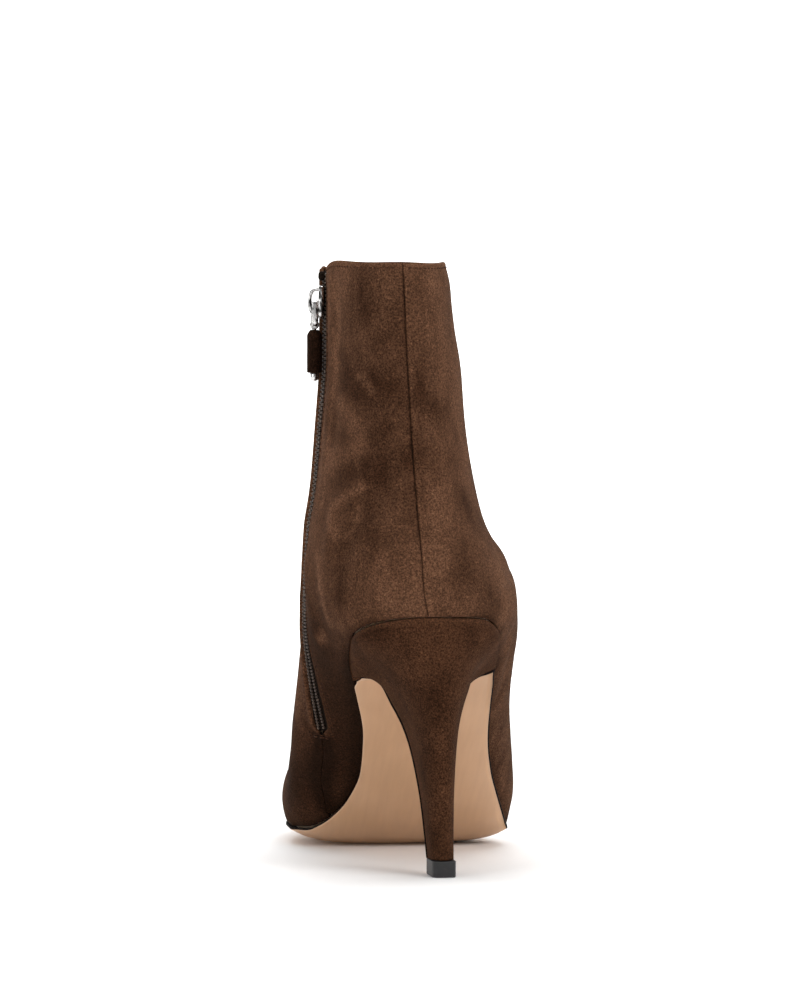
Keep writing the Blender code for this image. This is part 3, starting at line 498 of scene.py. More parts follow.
def distance_to(line, points):
    """Distances of points from a line through close samples."""
    gaps = points[..., None, :] - line
    return np.sqrt((gaps**2).sum(axis=-1)).min(axis=-1)


# The outer seam, from the sole at the waist forward and up to the instep
OUTER_SEAM = line_on_upper("outer", [(76, 57), (83, 66), (97, 82), (112, 95)])
SEAM_TROUGH = 0.35
SEAM_TROUGH_WIDTH = 0.9
SEAM_SWELL = 0.14
SEAM_SWELL_OUT = 2.4
SEAM_SWELL_WIDTH = 1.2
LUMP = 0.28
LUMP_SPREAD = 0.035
STITCH_DROP = 2.3
STITCH_TROUGH = 0.16
STITCH_TROUGH_WIDTH = 0.9
ZIP_TILT_WIDTH = 2.6
NEAR_ZIP_SINKS = -0.5
FAR_ZIP_RISES = 1.2
zip_middle = upper_point(counts, zip_turns, MEDIAL)[counts < ZIP_END - ZIP_CLOSES_OVER]


def bell(away, width):
    """1 at no distance, falling away to almost nothing at two widths."""
    return np.exp(-((away / width) ** 2))


def relief(patch, beside_zip):
    """How far the suede stands out of the last's form: folds, seams, the zip's edge and lumps."""
    away = np.maximum(distance_to(zip_middle, patch.points) - ZIP_SLOT_WIDTH / 2, 0)
    height = beside_zip * bell(away, ZIP_TILT_WIDTH)
    for fold in FOLDS:
        away = distance_to(line_on_upper(fold.seen, fold.points), patch.points)
        height += fold.depth * bell(away, fold.width)
    away = distance_to(OUTER_SEAM, patch.points)
    height -= SEAM_TROUGH * bell(away, SEAM_TROUGH_WIDTH)
    height += SEAM_SWELL * bell(away - SEAM_SWELL_OUT, SEAM_SWELL_WIDTH)
    below_top = BOOT_HEIGHT - patch.points[..., 2] - STITCH_DROP
    height -= STITCH_TROUGH * bell(below_top, STITCH_TROUGH_WIDTH)
    lumps = [noise.noise(Vector(point * LUMP_SPREAD)) for point in patch.points.reshape(-1, 3)]
    return height + LUMP * np.array(lumps).reshape(height.shape)


# Where the made boot sits off its last, in millimetres: the collar is lower at the back and
# beside the zip, and the seat stands higher behind the outer ankle.
COLLAR_BACK_LIFT = 0.6
COLLAR_SIDE_LIFT = 3.0
COLLAR_CLIMBS_FROM = 8.0
COLLAR_CLIMBS_TO = 44.0
COLLAR_REACH = 24.0
ZIP_DIP = 1.9
ZIP_DIP_HALF = 9.0
SeatRow = namedtuple("SeatRow", "across lift")
SEAT_LIFTS = [
    SeatRow(-42.0, 0.0),
    SeatRow(-34.0, 0.5),
    SeatRow(-25.0, 1.1),
    SeatRow(-14.0, 1.0),
    SeatRow(0.0, 1.2),
    SeatRow(10.0, 2.4),
    SeatRow(18.0, 4.0),
    SeatRow(23.0, 3.8),
    SeatRow(30.0, 1.5),
    SeatRow(36.0, 0.0),
]
seat_rise = smooth_curve(
    [row.across for row in SEAT_LIFTS], [row.lift for row in SEAT_LIFTS], stops_at_end=True
)
SEAT_LIFT_BACK = 25.0
SEAT_LIFT_REACH = 14.0


def eased(value, low, high):
    share = np.clip((value - low) / (high - low), 0, 1)
    return share * share * (3 - 2 * share)


def seat_lift(x, y):
    """How much higher the seat stands towards the outer back corner."""
    across = np.clip(x, SEAT_LIFTS[0].across, SEAT_LIFTS[-1].across)
    return seat_rise(across) * bell(y, SEAT_LIFT_BACK)


def settled(points):
    """Points of the upper moved up to where they sit on the made boot."""
    x, y, z = np.moveaxis(points, -1, 0)
    climbed = eased(y, COLLAR_CLIMBS_FROM, COLLAR_CLIMBS_TO)
    collar = COLLAR_BACK_LIFT + (COLLAR_SIDE_LIFT - COLLAR_BACK_LIFT) * climbed
    near_zip = bell(y - zip_y(BOOT_HEIGHT), ZIP_DIP_HALF)
    collar = collar - ZIP_DIP * np.where(x < ridge_x(0), near_zip, 0.0)
    up = collar * bell(BOOT_HEIGHT - z, COLLAR_REACH)
    up = up + seat_lift(x, y) * bell(z - SEAT_HEIGHT, SEAT_LIFT_REACH)
    return np.stack((x, y, z + up), axis=-1)


# Nap strokes and one stroke of painted shade, placed as the folds are: paler above zero, darker below
Stroke = namedtuple("Stroke", "seen points width shade")
NAP_AND_SHADE_STROKES = [
    Stroke("back", [(-35.0, 205), (-33.8, 194), (-34.6, 184), (-35.8, 172)], 2.4, 0.70),
    Stroke("back", [(-37.6, 168), (-37.2, 149), (-39.2, 129)], 1.5, 0.50),
    Stroke("back", [(-28.5, 208), (-25.7, 198)], 6.0, -0.35),
    Stroke("back", [(-32.4, 180), (-31.4, 172), (-20.0, 172)], 5.0, -0.35),
    Stroke("back", [(-28.5, 175.5), (-26.5, 173), (-24.7, 170.5)], 1.6, 0.80),
    Stroke("back", [(-34.3, 167), (-31.4, 160), (-27.6, 151.5), (-36.2, 146)], 4.0, 0.55),
    Stroke("back", [(-31.4, 144), (-23.7, 142), (-15.1, 146), (-12.2, 149)], 6.0, -0.35),
    Stroke("back", [(-27.1, 136.5), (-32.4, 133), (-37.2, 125.5), (-36.2, 119)], 1.5, 0.70),
    Stroke("back", [(-29.5, 128.5), (-31.4, 122), (-34.0, 119)], 1.5, 0.40),
    Stroke("back", [(-31.4, 121), (-35.3, 112), (-34.3, 98)], 4.0, -0.40),
    Stroke("back", [(-42.0, 112), (-43.5, 100.5), (-42.0, 89), (-38.1, 81.5)], 2.2, 0.65),
    Stroke("back", [(-23.7, 107), (-19.9, 98), (-10.3, 94)], 7.0, 0.40),
    Stroke("back", [(-7.9, 168), (-2.6, 164), (3.2, 162)], 5.0, -0.30),
    Stroke("back", [(-6.5, 148.5), (3.2, 146), (7.0, 148.5)], 5.0, -0.25),
    Stroke("back", [(-2.6, 134), (-4.5, 121.5), (-2.6, 110)], 4.0, 0.25),
    Stroke("back", [(7.0, 133), (16.6, 123.5), (21.4, 117)], 5.0, -0.30),
    Stroke("back", [(5.1, 105.5), (14.7, 100.5), (19.5, 94)], 6.0, -0.40),
    Stroke("back", [(-8.4, 182), (-6.5, 196), (-2.6, 207)], 4.0, 0.20),
    Stroke("back", [(23.3, 105.5), (26.2, 96)], 3.0, 0.35),
    # Painted shade: the inner side's lower half made darker, for the shade that falls on it
    Stroke("inner", [(58, 82), (80, 58), (108, 34), (140, 22)], 20.0, -0.78),
]
STROKE_STRENGTH = 1.3
# Painted light: the whole outer half of the upper made paler, for the light that falls on that side
OUTER_PAINTED_LIGHT = 0.15


def nap_and_painted_shade(patch):
    """How much paler or darker the nap lies for the strokes across it, with painted shade from the inner
    side's shade stroke.
    """
    shade = np.zeros(patch.points.shape[:2])
    for stroke in NAP_AND_SHADE_STROKES:
        away = distance_to(line_on_upper(stroke.seen, stroke.points), patch.points)
        shade += STROKE_STRENGTH * stroke.shade * bell(away, stroke.width)
    return shade


behind_nap_and_shade = nap_and_painted_shade(behind)
front_nap_light_and_shade = nap_and_painted_shade(front) + OUTER_PAINTED_LIGHT * (front.points[..., 0] > SEAT_MIDDLE)
behind_relief = relief(behind, NEAR_ZIP_SINKS)[..., None]
front_relief = relief(front, FAR_ZIP_RISES)[..., None]
behind = behind._replace(points=settled(behind.points + behind.out * behind_relief))
front = front._replace(points=settled(front.points + front.out * front_relief))


def edge_fold(patch, at, towards, radius):
    """Points that fold a panel's edge over and in: a quarter round, then straight in."""
    edge = patch.points[:, at]
    out = patch.out[:, at]
    side = patch.forward[:, at] * towards
    radius = np.asarray(radius)[:, None]
    bends = np.linspace(0, QUARTER, ROLL_STEPS + 1)[1:]
    rings = [edge + radius * (out * (math.cos(a) - 1) + side * math.sin(a)) for a in bends]
    rings.append(rings[-1] - out * ROLL_DEPTH)
    return np.stack(rings[::-1] if at == 0 else rings, axis=1)


def with_folded_edges(patch, start_radius, end_radius):
    """A panel with both its side edges folded in and its top edge rolled over."""
    start = edge_fold(patch, 0, -1, start_radius)
    end = edge_fold(patch, -1, 1, end_radius)
    points = np.concatenate((start, patch.points, end), axis=1)
    folds = ROLL_STEPS + 1
    out = np.pad(patch.out[0], ((folds, folds), (0, 0)), mode="edge")
    up = np.pad(patch.up[0], ((folds, folds), (0, 0)), mode="edge")
    bends = np.linspace(math.pi, 0, 2 * ROLL_STEPS + 1)[:-1]
    rolled = [points[0] + TOP_ROLL * (out * (math.cos(a) - 1) + up * math.sin(a)) for a in bends]
    return np.concatenate((np.stack(rolled), points))


def grid_faces(rows, columns, start=0):
    """Quads between neighbouring points of a grid that is stored row by row."""
    corner = np.arange(rows * columns).reshape(rows, columns) + start
    quads = (corner[:-1, :-1], corner[1:, :-1], corner[1:, 1:], corner[:-1, 1:])
    return np.stack(quads, axis=-1).reshape(-1, 4).tolist()


def sheets(*grids):
    """Points and faces of several grids of points in one mesh."""
    faces = []
    start = 0
    for grid in grids:
        rows, columns = grid.shape[:2]
        faces += grid_faces(rows, columns, start)
        start += rows * columns
    return np.concatenate([grid.reshape(-1, 3) for grid in grids]), faces


def add_piece(name, points, faces, finish, weld=0.0, wear_and_painted_light=None):
    """A smooth-shaded piece from points in the last's millimetres; per-point worn nap and painted
    highlights are paler above zero, painted shade darker below.
    """
    mesh = bpy.data.meshes.new(name)
    mesh.from_pydata(((np.asarray(points) - ORIGIN) * MM).tolist(), [], faces)
    if wear_and_painted_light is not None:
        mesh.attributes.new("wear_and_painted_light", "FLOAT", "POINT").data.foreach_set("value", np.ravel(wear_and_painted_light))
    if weld:
        bm = bmesh.new()
        bm.from_mesh(mesh)
        bmesh.ops.remove_doubles(bm, verts=bm.verts, dist=weld * MM)
        bm.to_mesh(mesh)
        bm.free()
    mesh.shade_smooth()
    mesh.materials.append(finish)
    piece = bpy.data.objects.new(name, mesh)
    bpy.context.scene.collection.objects.link(piece)
    return piece


class Tint:
    """A socket in a material's nodes. Sums on it add Math nodes, and node() adds any other."""

    def __init__(self, socket):
        self.socket = socket
        self.tree = socket.id_data

    def node(self, kind, settings, values, output=None):
        made = self.tree.nodes.new(kind)
        for name, value in settings.items():
            setattr(made, name, value)
        for name, value in values.items():
            if isinstance(name, int):
                inlet = made.inputs[name]
            else:
                inlet = next(s for s in made.inputs if s.enabled and s.name == name)
            if isinstance(value, Tint):
                self.tree.links.new(value.socket, inlet)
            else:
                inlet.default_value = value
        fitting = (s for s in made.outputs if s.enabled and output in (None, s.name))
        return Tint(next(fitting))

    def math(self, operation, first, second):
        return self.node("ShaderNodeMath", {"operation": operation}, {0: first, 1: second})

    def __add__(self, other):
        return self.math("ADD", self, other)

    def __radd__(self, other):
        return self.math("ADD", other, self)

    def __sub__(self, other):
        return self.math("SUBTRACT", self, other)

    def __rsub__(self, other):
        return self.math("SUBTRACT", other, self)

    def __mul__(self, other):
        return self.math("MULTIPLY", self, other)

    def __rmul__(self, other):
        return self.math("MULTIPLY", other, self)

    def part(self, low, high):
        """The share from 0 to 1, eased, as the value goes from low to high."""
        settings = {"interpolation_type": "SMOOTHSTEP"}
        values = {"Value": self, "From Min": low, "From Max": high}
        return self.node("ShaderNodeMapRange", settings, values)

    def blend(self, first, second):
        """A colour from first to second as the value goes from 0 to 1."""
        values = {"Factor": self, "A": first, "B": second}
        return self.node("ShaderNodeMix", {"data_type": "RGBA"}, values)

    def stretched(self, across, along, up):
        """A place with its axes scaled, so that a pattern on it is drawn out."""
        settings = {"operation": "MULTIPLY"}
        return self.node("ShaderNodeVectorMath", settings, {0: self, 1: (across, along, up)})

    def cloud(self, size, detail=2.0, roughness=0.5):
        """Soft random patches of about a size in millimetres, from 0 to 1."""
        values = {"Vector": self, "Scale": 1 / (size * MM), "Detail": detail, "Roughness": roughness}
        return self.node("ShaderNodeTexNoise", {}, values)


def new_finish(name, fixed):
    """A material, its shader with the fixed values set, and the place on the surface in metres."""
    made = bpy.data.materials.new(name)
    made.use_nodes = True
    shader = made.node_tree.nodes["Principled BSDF"]
    for socket, value in fixed.items():
        shader.inputs[socket].default_value = value
    place = made.node_tree.nodes.new("ShaderNodeTexCoord").outputs["Object"]
    return made, shader, Tint(place)


def plug(shader, name, tint):
    tint.tree.links.new(tint.socket, shader.inputs[name])


def rough_up(shader, height, depth, strength):
    """Bump a surface by a height from 0 to 1 that stands for a depth in millimetres."""
    values = {"Strength": strength, "Distance": depth * MM, "Height": height}
    plug(shader, "Normal", height.node("ShaderNodeBump", {}, values))


def grey_of(tint):
    """A value as a grey colour, for a Mix node that multiplies colours."""
    return tint.node("ShaderNodeCombineColor", {}, {"Red": tint, "Green": tint, "Blue": tint})


def shaded(colour, amount):
    """A colour made lighter or darker by an amount."""
    settings = {"data_type": "RGBA", "blend_type": "MULTIPLY"}
    return colour.node("ShaderNodeMix", settings, {"Factor": 1.0, "A": colour, "B": grey_of(amount)})


NAP_DARK = (0.0400, 0.0170, 0.0086, 1.0)
NAP_LIGHT = (0.1180, 0.0560, 0.0310, 1.0)
NAP_FIXED = {
    "Specular IOR Level": 0.02,
    "Sheen Weight": 0.03,
    "Sheen Roughness": 0.5,
    "Sheen Tint": (0.70, 0.45, 0.30, 1.0),
}
SWIRL = 0.014
SWIRL_SIZE = 30.0
WIDE_PATCH = 34.0
SMALL_PATCH = 9.0
GRAIN_SIZE = 0.62
SPECK_SIZE = 0.9
FIBRE_SIZE = 0.3
NAP_SHADOW = 0.40
GRAIN_LIGHT = 0.94
SPECK_LIGHT = 0.65
# How deep the painted shade goes, and over which per-point values it comes in
DEEPEST_PAINTED_SHADE = 0.35
PAINTED_SHADE_SPAN = (-1.3, -0.6)
NAP_DEPTH = 0.3


def suede(name, dark=NAP_DARK, light=NAP_LIGHT, drawn_out=0.6):
    """Brown suede: a short nap in soft brushed patches, paler for worn nap and painted highlights, and
    darker for painted shade in its joins.
    """
    made, shader, place = new_finish(name, NAP_FIXED)
    # Per-point values: worn nap and painted highlights above zero, painted shade below
    wear_and_painted_light = place.node("ShaderNodeAttribute", {"attribute_name": "wear_and_painted_light"}, {}, "Fac")
    values = {"Vector": place, "Scale": 1 / (SWIRL_SIZE * MM)}
    swirl = place.node("ShaderNodeTexNoise", {}, values, "Color")
    values = {0: swirl, 1: (SWIRL, SWIRL, SWIRL), 2: place}
    swirled = place.node("ShaderNodeVectorMath", {"operation": "MULTIPLY_ADD"}, values)
    brushed = swirled.stretched(1.0, 1.0, drawn_out)
    patches = brushed.cloud(WIDE_PATCH, 2.0, 0.5) * 0.5 + brushed.cloud(SMALL_PATCH, 3.0, 0.55) * 0.5
    lie = patches.part(0.30, 0.70)
    grain = place.cloud(GRAIN_SIZE, 2.0, 0.8).part(0.34, 0.66)
    specks = place.cloud(SPECK_SIZE, 1.0).part(0.60, 0.74)
    fibre = place.cloud(FIBRE_SIZE, 2.0, 0.6)
    colour = (lie * 0.8 + 0.1 + wear_and_painted_light * 0.8).blend(dark, light)
    # Painted shade: far below zero, the per-point values darken the colour past the darkest nap
    painted_shade = DEEPEST_PAINTED_SHADE + wear_and_painted_light.part(*PAINTED_SHADE_SPAN) * (1 - DEEPEST_PAINTED_SHADE)
    shade = (NAP_SHADOW + grain * GRAIN_LIGHT + specks * SPECK_LIGHT) * painted_shade
    plug(shader, "Base Color", shaded(colour, shade))
    plug(shader, "Roughness", 0.9 + lie * 0.08)
    rough_up(shader, grain * 0.6 + fibre * 0.4, NAP_DEPTH, 0.6)
    return made


UPPER_SUEDE = suede("upper_suede")
# The upper's edges: the topline paler for worn nap and a painted highlight, the zip's folded edges and
# the back seam's outer edge paler as painted highlights
TOPLINE_WEAR_AND_HIGHLIGHT = 0.35
TOPLINE_PALE_FROM = 3 * TOP_ROLL
ZIP_EDGE_HIGHLIGHT = 0.6
SEAM_EDGE_HIGHLIGHT = 0.55
# Painted shade: darker along the feather line, where the upper turns under to the sole, and in the
# seams' joins
FEATHER_PAINTED_SHADE = -0.7
JOIN_PAINTED_SHADE = 1.5
JOIN_SHADE_REACH = 0.6
PALE_EDGE_REACH = 1.6
FEATHER_SHADE_REACH = 4.0


def edge_wear_and_painted_light(grid, nap, start, end):
    """How paler or darker a panel is: worn nap and a painted highlight along its topline, painted
    highlights along its side edges, and painted shade along the feather line and where it is joined.

    start and end hold, row by row, an edge's value (paler for painted highlights, darker for painted
    shade), how far it reaches, and 1 where it is joined.
    """
    rolled = 2 * ROLL_STEPS
    folds = ROLL_STEPS + 1
    from_start = walked(grid, axis=1)
    from_top = walked(grid)
    total = np.pad(nap, ((rolled, 0), (folds, folds)), mode="edge")
    total = total + TOPLINE_WEAR_AND_HIGHLIGHT * bell(np.maximum(from_top - TOPLINE_PALE_FROM, 0), PALE_EDGE_REACH)
    for distance, edge in ((from_start, start), (from_start[:, -1:] - from_start, end)):
        edge_light_and_shade, reach, painted_shade = (np.pad(rows, (rolled, 0), mode="edge")[:, None] for rows in edge)
        past_fold = np.maximum(distance - ROLL_DEPTH, 0)
        total = total + edge_light_and_shade * bell(past_fold, reach)
        total = total - JOIN_PAINTED_SHADE * painted_shade * bell(past_fold, JOIN_SHADE_REACH)
    return total


behind_grid = with_folded_edges(behind, start_roll[:behind_rows], slot_roll[:behind_rows])
front_grid = with_folded_edges(front, before_roll, start_roll)
on_back_seam = counts <= SEAT_BACK
above_zip_end = counts < ZIP_END
back_reach = np.where(on_back_seam, PALE_EDGE_REACH, FEATHER_SHADE_REACH)
inner_back_edge = (np.where(on_back_seam, 0.0, FEATHER_PAINTED_SHADE), back_reach, on_back_seam)
outer_back_edge = (np.where(on_back_seam, SEAM_EDGE_HIGHLIGHT, FEATHER_PAINTED_SHADE), back_reach, on_back_seam)
zip_edge = (
    np.where(above_zip_end, ZIP_EDGE_HIGHLIGHT, FEATHER_PAINTED_SHADE),
    np.where(above_zip_end, PALE_EDGE_REACH, FEATHER_SHADE_REACH),
    ~above_zip_end,
)
behind_wear_and_painted_light = edge_wear_and_painted_light(
    behind_grid,
    behind_nap_and_shade,
    [rows[:behind_rows] for rows in inner_back_edge],
    [rows[:behind_rows] for rows in zip_edge],
)
front_wear_and_painted_light = edge_wear_and_painted_light(front_grid, front_nap_light_and_shade, zip_edge, outer_back_edge)
upper_wear_and_painted_light = np.concatenate((behind_wear_and_painted_light.ravel(), front_wear_and_painted_light.ravel()))
upper = add_piece("suede_upper", *sheets(behind_grid, front_grid), UPPER_SUEDE, wear_and_painted_light=upper_wear_and_painted_light)
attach(upper, "boot")
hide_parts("upper")

# Lining: smooth beige leather glued inside the upper from the topline to the toe. It is left
# open along the zip, and its top edge meets the suede that is folded over the collar.
LINING_DEPTH = 2 * TOP_ROLL
LINING_EVERY = 3
LINING_COLUMNS = 22
LINING_WELD = 0.02
HEM_IN = 3.5
HEM_DROP = 0.6
PORES_PER_METRE = 1100.0
LINING_COLOUR = (0.46, 0.33, 0.22, 1.0)
LINING_WORN = (0.36, 0.25, 0.16, 1.0)


def smooth_leather(name, colour, wear_and_painted_light, roughness):
    """Smooth grain leather with faint creasing and a dull satin gloss."""
    made, shader, place = new_finish(name, {})
    tone = place.cloud(26, 3.0, 0.6).part(0.3, 0.75)
    values = {"Vector": place, "Scale": PORES_PER_METRE}
    grain = place.node("ShaderNodeTexVoronoi", {"feature": "SMOOTH_F1"}, values)
    plug(shader, "Base Color", tone.blend(colour, wear_and_painted_light))
    plug(shader, "Roughness", roughness + tone * 0.1)
    rough_up(shader, grain, 0.12, 0.35)
    return made


even_columns = np.linspace(0, 1, LINING_COLUMNS + 1)
lining_rows = np.arange(0, len(counts), LINING_EVERY)
zip_back = (zip_arcs - slot_half)[lining_rows, None]
zip_front = (zip_arcs + slot_half)[lining_rows, None]
ridge_arc = medial_arcs[lining_rows, -1:]
outer_arc = lateral_arcs[lining_rows, -1:]


def lining_grid(distances, side):
    """Points of the lining at distances round the sections, inside the wall."""
    turns, arcs = (medial_turns, medial_arcs) if side == MEDIAL else (lateral_turns, lateral_arcs)
    patch = wall_patch(counts[lining_rows, None], turns_at(turns, arcs[lining_rows], distances), side)
    return settled(patch.points - patch.out * LINING_DEPTH)


def lining_hem(edge, inward):
    """The lower edge of the lining along the foot, turned in under the sock."""
    turned = eased(counts[lining_rows], SEAT_BACK, SEAT)[:, None]
    return (edge + turned * np.array((inward * HEM_IN, 0.0, -HEM_DROP)))[:, None]


inner_back = lining_grid(zip_back * even_columns, MEDIAL)
inner_front = lining_grid(zip_front + (ridge_arc - zip_front) * even_columns, MEDIAL)
outer_side = lining_grid(outer_arc * (1 - even_columns[1:]), LATERAL)
inner_hem = lining_hem(inner_back[:, 0], LATERAL)
outer_hem = lining_hem(outer_side[:, -1], MEDIAL)
lining_mesh = sheets(
    np.concatenate((inner_hem, inner_back), axis=1),
    np.concatenate((inner_front, outer_side, outer_hem), axis=1),
)
LINING_LEATHER = smooth_leather("lining_leather", LINING_COLOUR, LINING_WORN, 0.5)
lining = add_piece("lining", *lining_mesh, LINING_LEATHER, weld=LINING_WELD)
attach(lining, "boot")

# Sock: the beige leather that covers the insole board, glued down inside the upper with its
# edges skived thin. It fills the last's bottom from the heel to the toe.
INSOLE_THICKNESS = 1.8
INSOLE_INSET = 2.2
INSOLE_LIFT = 0.1
SOCK_ROWS = 110
SOCK_COLUMNS = 18
SOCK_ROUND = 0.6
SOCK_START = SEAT_BACK + 0.02
SOCK_END = TOE + 0.5
CORNER_STEPS = 4
SLOPE_STEP = 0.5
LEAST_HALF = 0.5
FLAT_SHARE = 0.45
INNER_CURL_POWER = 2.5
OUTER_CURL_POWER = 4.5


def edge_lift(x, y):
    """How far the bottom has curled up at x: nothing over its flat middle, all at its edges."""
    medial, lateral = outline(y)
    middle = (medial + lateral) / 2
    off_middle = np.abs(x - middle) / np.maximum((lateral - medial) / 2, LEAST_HALF)
    share = np.clip((off_middle - FLAT_SHARE) / (1 - FLAT_SHARE), 0, 1)
    power = np.where(x > middle, OUTER_CURL_POWER, INNER_CURL_POWER)
    return np.maximum(edge_curl(y), 0) * share**power


def beside_bottom(y, lift):
    """The point at a distance above (or below) the last's bottom line, square to it."""
    slope = (bottom_height(y + SLOPE_STEP) - bottom_height(y - SLOPE_STEP)) / (2 * SLOPE_STEP)
    scale = lift / np.hypot(slope, 1)
    return np.array((y - slope * scale, bottom_height(y) + scale))


def plate_loop(medial, lateral, top, bottom, rounding, columns):
    """One section round a plate: over its top, down its lateral edge, under and up again."""
    thick = np.linalg.norm(bottom - top)
    down = (bottom - top) / thick
    width = lateral - medial
    radius = min(rounding, thick / 2, width / 4)
    bends = np.linspace(0, QUARTER, CORNER_STEPS + 1)
    xs = list(np.linspace(medial + radius, lateral - radius, columns + 1))
    depths = [0.0] * (columns + 1)
    for turn in bends[1:]:
        xs.append(lateral - radius + radius * math.sin(turn))
        depths.append(radius - radius * math.cos(turn))
    for turn in bends:
        xs.append(lateral - radius + radius * math.cos(turn))
        depths.append(thick - radius + radius * math.sin(turn))
    half = len(xs)
    xs += [medial + lateral - xs[i] for i in range(half)]
    depths += [thick - depths[i] for i in range(half)]
    yz = top + np.outer(depths, down)
    return np.column_stack((xs, yz))


def closed_loops(loops):
    """Points and faces of a skin through closed loops, with both ends capped."""
    around = len(loops[0])
    corner = np.arange(len(loops) * around).reshape(len(loops), around)
    ahead = np.roll(corner, -1, axis=1)
    quads = np.stack((corner[:-1], ahead[:-1], ahead[1:], corner[1:]), axis=-1)
    caps = [corner[0, ::-1].tolist(), corner[-1].tolist()]
    return np.concatenate(loops), quads.reshape(-1, 4).tolist() + caps


sock_loops = []
for count in np.linspace(SOCK_START, SOCK_END, SOCK_ROWS + 1):
    place = foot_place(count, -INSOLE_INSET)
    medial, lateral = outline(place, -INSOLE_INSET)
    top = beside_bottom(place, INSOLE_LIFT + INSOLE_THICKNESS)
    bottom = beside_bottom(place, INSOLE_LIFT)
    loop = plate_loop(medial, lateral, top, bottom, SOCK_ROUND, SOCK_COLUMNS)
    loop[:, 2] += edge_lift(loop[:, 0], place)
    sock_loops.append(loop)
SOCK_LEATHER = smooth_leather("sock_leather", LINING_COLOUR, LINING_WORN, 0.45)
sock = add_piece("sock", *closed_loops(sock_loops), SOCK_LEATHER)
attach(sock, "boot")
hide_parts("insole")

# Heel: a tapered block with a cup under the seat, covered in the same suede, given darker colours as
# painted shade.
# The cover is glued on, rolled over the rim that meets the upper, and trimmed at the lift.
HeelRow = namedtuple("HeelRow", "name back_along back_rise front_along front_rise half bow")
HEEL = [
    HeelRow("rim", 1.1, 99.6, 22.9, 78.1, 30.2, 1.0),
    HeelRow("lip", 1.15, 95.0, 21.5, 78.3, 29.6, 0.9),
    HeelRow("cup", 1.25, 90.6, 20.4, 77.2, 26.2, 0.7),
    HeelRow("shoulder", 1.5, 86.7, 19.9, 75.2, 21.6, 0.5),
    HeelRow("flare", 1.75, 82.9, 19.5, 71.6, 17.4, 0.3),
    HeelRow("stem_top", 2.3, 76.2, 18.7, 65.4, 14.0, 0.1),
    HeelRow("stem_high", 3.1, 67.4, 17.3, 57.7, 10.5, 0.0),
    HeelRow("stem", 3.95, 56.9, 15.8, 49.3, 8.3, 0.0),
    HeelRow("stem_mid", 4.9, 44.2, 14.4, 39.8, 6.9, 0.0),
    HeelRow("stem_low", 5.7, 30.4, 13.1, 28.7, 5.8, 0.0),
    HeelRow("foot", 6.3, 16.6, 12.1, 16.0, 5.1, 0.0),
    HeelRow("base", 6.55, 6.65, 11.5, 6.65, 4.7, 0.0),
]
GAP = 0.3
HEEL_FOOT_X = 1.3
HEEL_LEAN = 0.037
SOLE_MARGIN = 0.6
HEEL_RINGS = 110
HEEL_SIDE_STEPS = 36
RIM_RADIUS = 1.0
RIM_STEPS = 6
RIM_END = 0.25
HEEL_COUNTS = list(range(len(HEEL)))
HEEL_LAST = HEEL_COUNTS[-1]
heel_back_y = smooth_curve(HEEL_COUNTS, column(HEEL, "back_along", LENGTH))
heel_back_z = smooth_curve(HEEL_COUNTS, column(HEEL, "back_rise", SEAT_HEIGHT))
heel_front_y = smooth_curve(HEEL_COUNTS, column(HEEL, "front_along", LENGTH))
heel_front_z = smooth_curve(HEEL_COUNTS, column(HEEL, "front_rise", SEAT_HEIGHT))
heel_half = smooth_curve(HEEL_COUNTS, column(HEEL, "half", BALL_WIDTH))
heel_bow = smooth_curve(HEEL_COUNTS, [row.bow for row in HEEL])

# The front of the heel's rim runs aslant: its outer corner sits further back, up the slope of
# the shank, and its inner corner further forward
Slip = namedtuple("Slip", "place moved spread")
SLIPS = [
    Slip((25.0, 54.5, 69.0), (0.0, -0.8, 0.5), 8.0),
    Slip((-27.0, 54.5, 69.0), (1.6, 4.6, -2.9), 7.5),
]


def slipped(points):
    """Points of the heel and sole, moved along with the front corners of the heel's rim."""
    moved = points
    for slip in SLIPS:
        away = np.linalg.norm(points - np.array(slip.place), axis=-1, keepdims=True)
        moved = moved + np.array(slip.moved) * bell(away, slip.spread)
    return moved


def heel_ring(count):
    """A ring of the heel: from its back round the lateral side, across the breast and back."""
    share = 1 - np.cos(QUARTER * np.linspace(0, 1, HEEL_SIDE_STEPS + 1))
    rim_back = HEEL_BACK - SOLE_MARGIN
    rim_front = float(heel_front_y(0))
    rim_y = rim_back + (rim_front - rim_back) * share
    seat_medial, seat_lateral = outline(rim_y, SOLE_MARGIN)
    fullness = (seat_lateral - seat_medial) / (seat_lateral[-1] - seat_medial[-1])
    y = heel_back_y(count) + (heel_front_y(count) - heel_back_y(count)) * share
    chord = heel_back_z(count) + (heel_front_z(count) - heel_back_z(count)) * share
    rim_chord = heel_back_z(0) + (heel_front_z(0) - heel_back_z(0)) * share
    z = chord + heel_bow(count) * (beside_bottom(rim_y, -GAP)[1] - rim_chord)
    leaning = HEEL_FOOT_X - HEEL_LEAN * z
    middle = leaning + ((seat_medial + seat_lateral) / 2 - leaning) * heel_bow(count)
    half = heel_half(count) * fullness
    lateral_side = np.column_stack((middle + half, y, z))
    medial_side = np.column_stack((middle - half, y, z))
    ring = np.concatenate((lateral_side, medial_side[:0:-1]))
    ring[:, 2] += seat_lift(ring[:, 0], ring[:, 1]) * heel_bow(count)
    return slipped(ring)


def rolled_rim(ring):
    """Rings that roll the cover over the heel's rim, from the seat out and down."""
    along = unit(np.roll(ring, -1, axis=0) - np.roll(ring, 1, axis=0))
    up = np.array((0.0, 0.0, 1.0))
    out = unit(np.cross(along, up))
    bends = np.linspace(0, QUARTER, RIM_STEPS + 1)
    return [ring + RIM_RADIUS * (out * (math.sin(a) - 1) + up * (math.cos(a) - 1)) for a in bends]


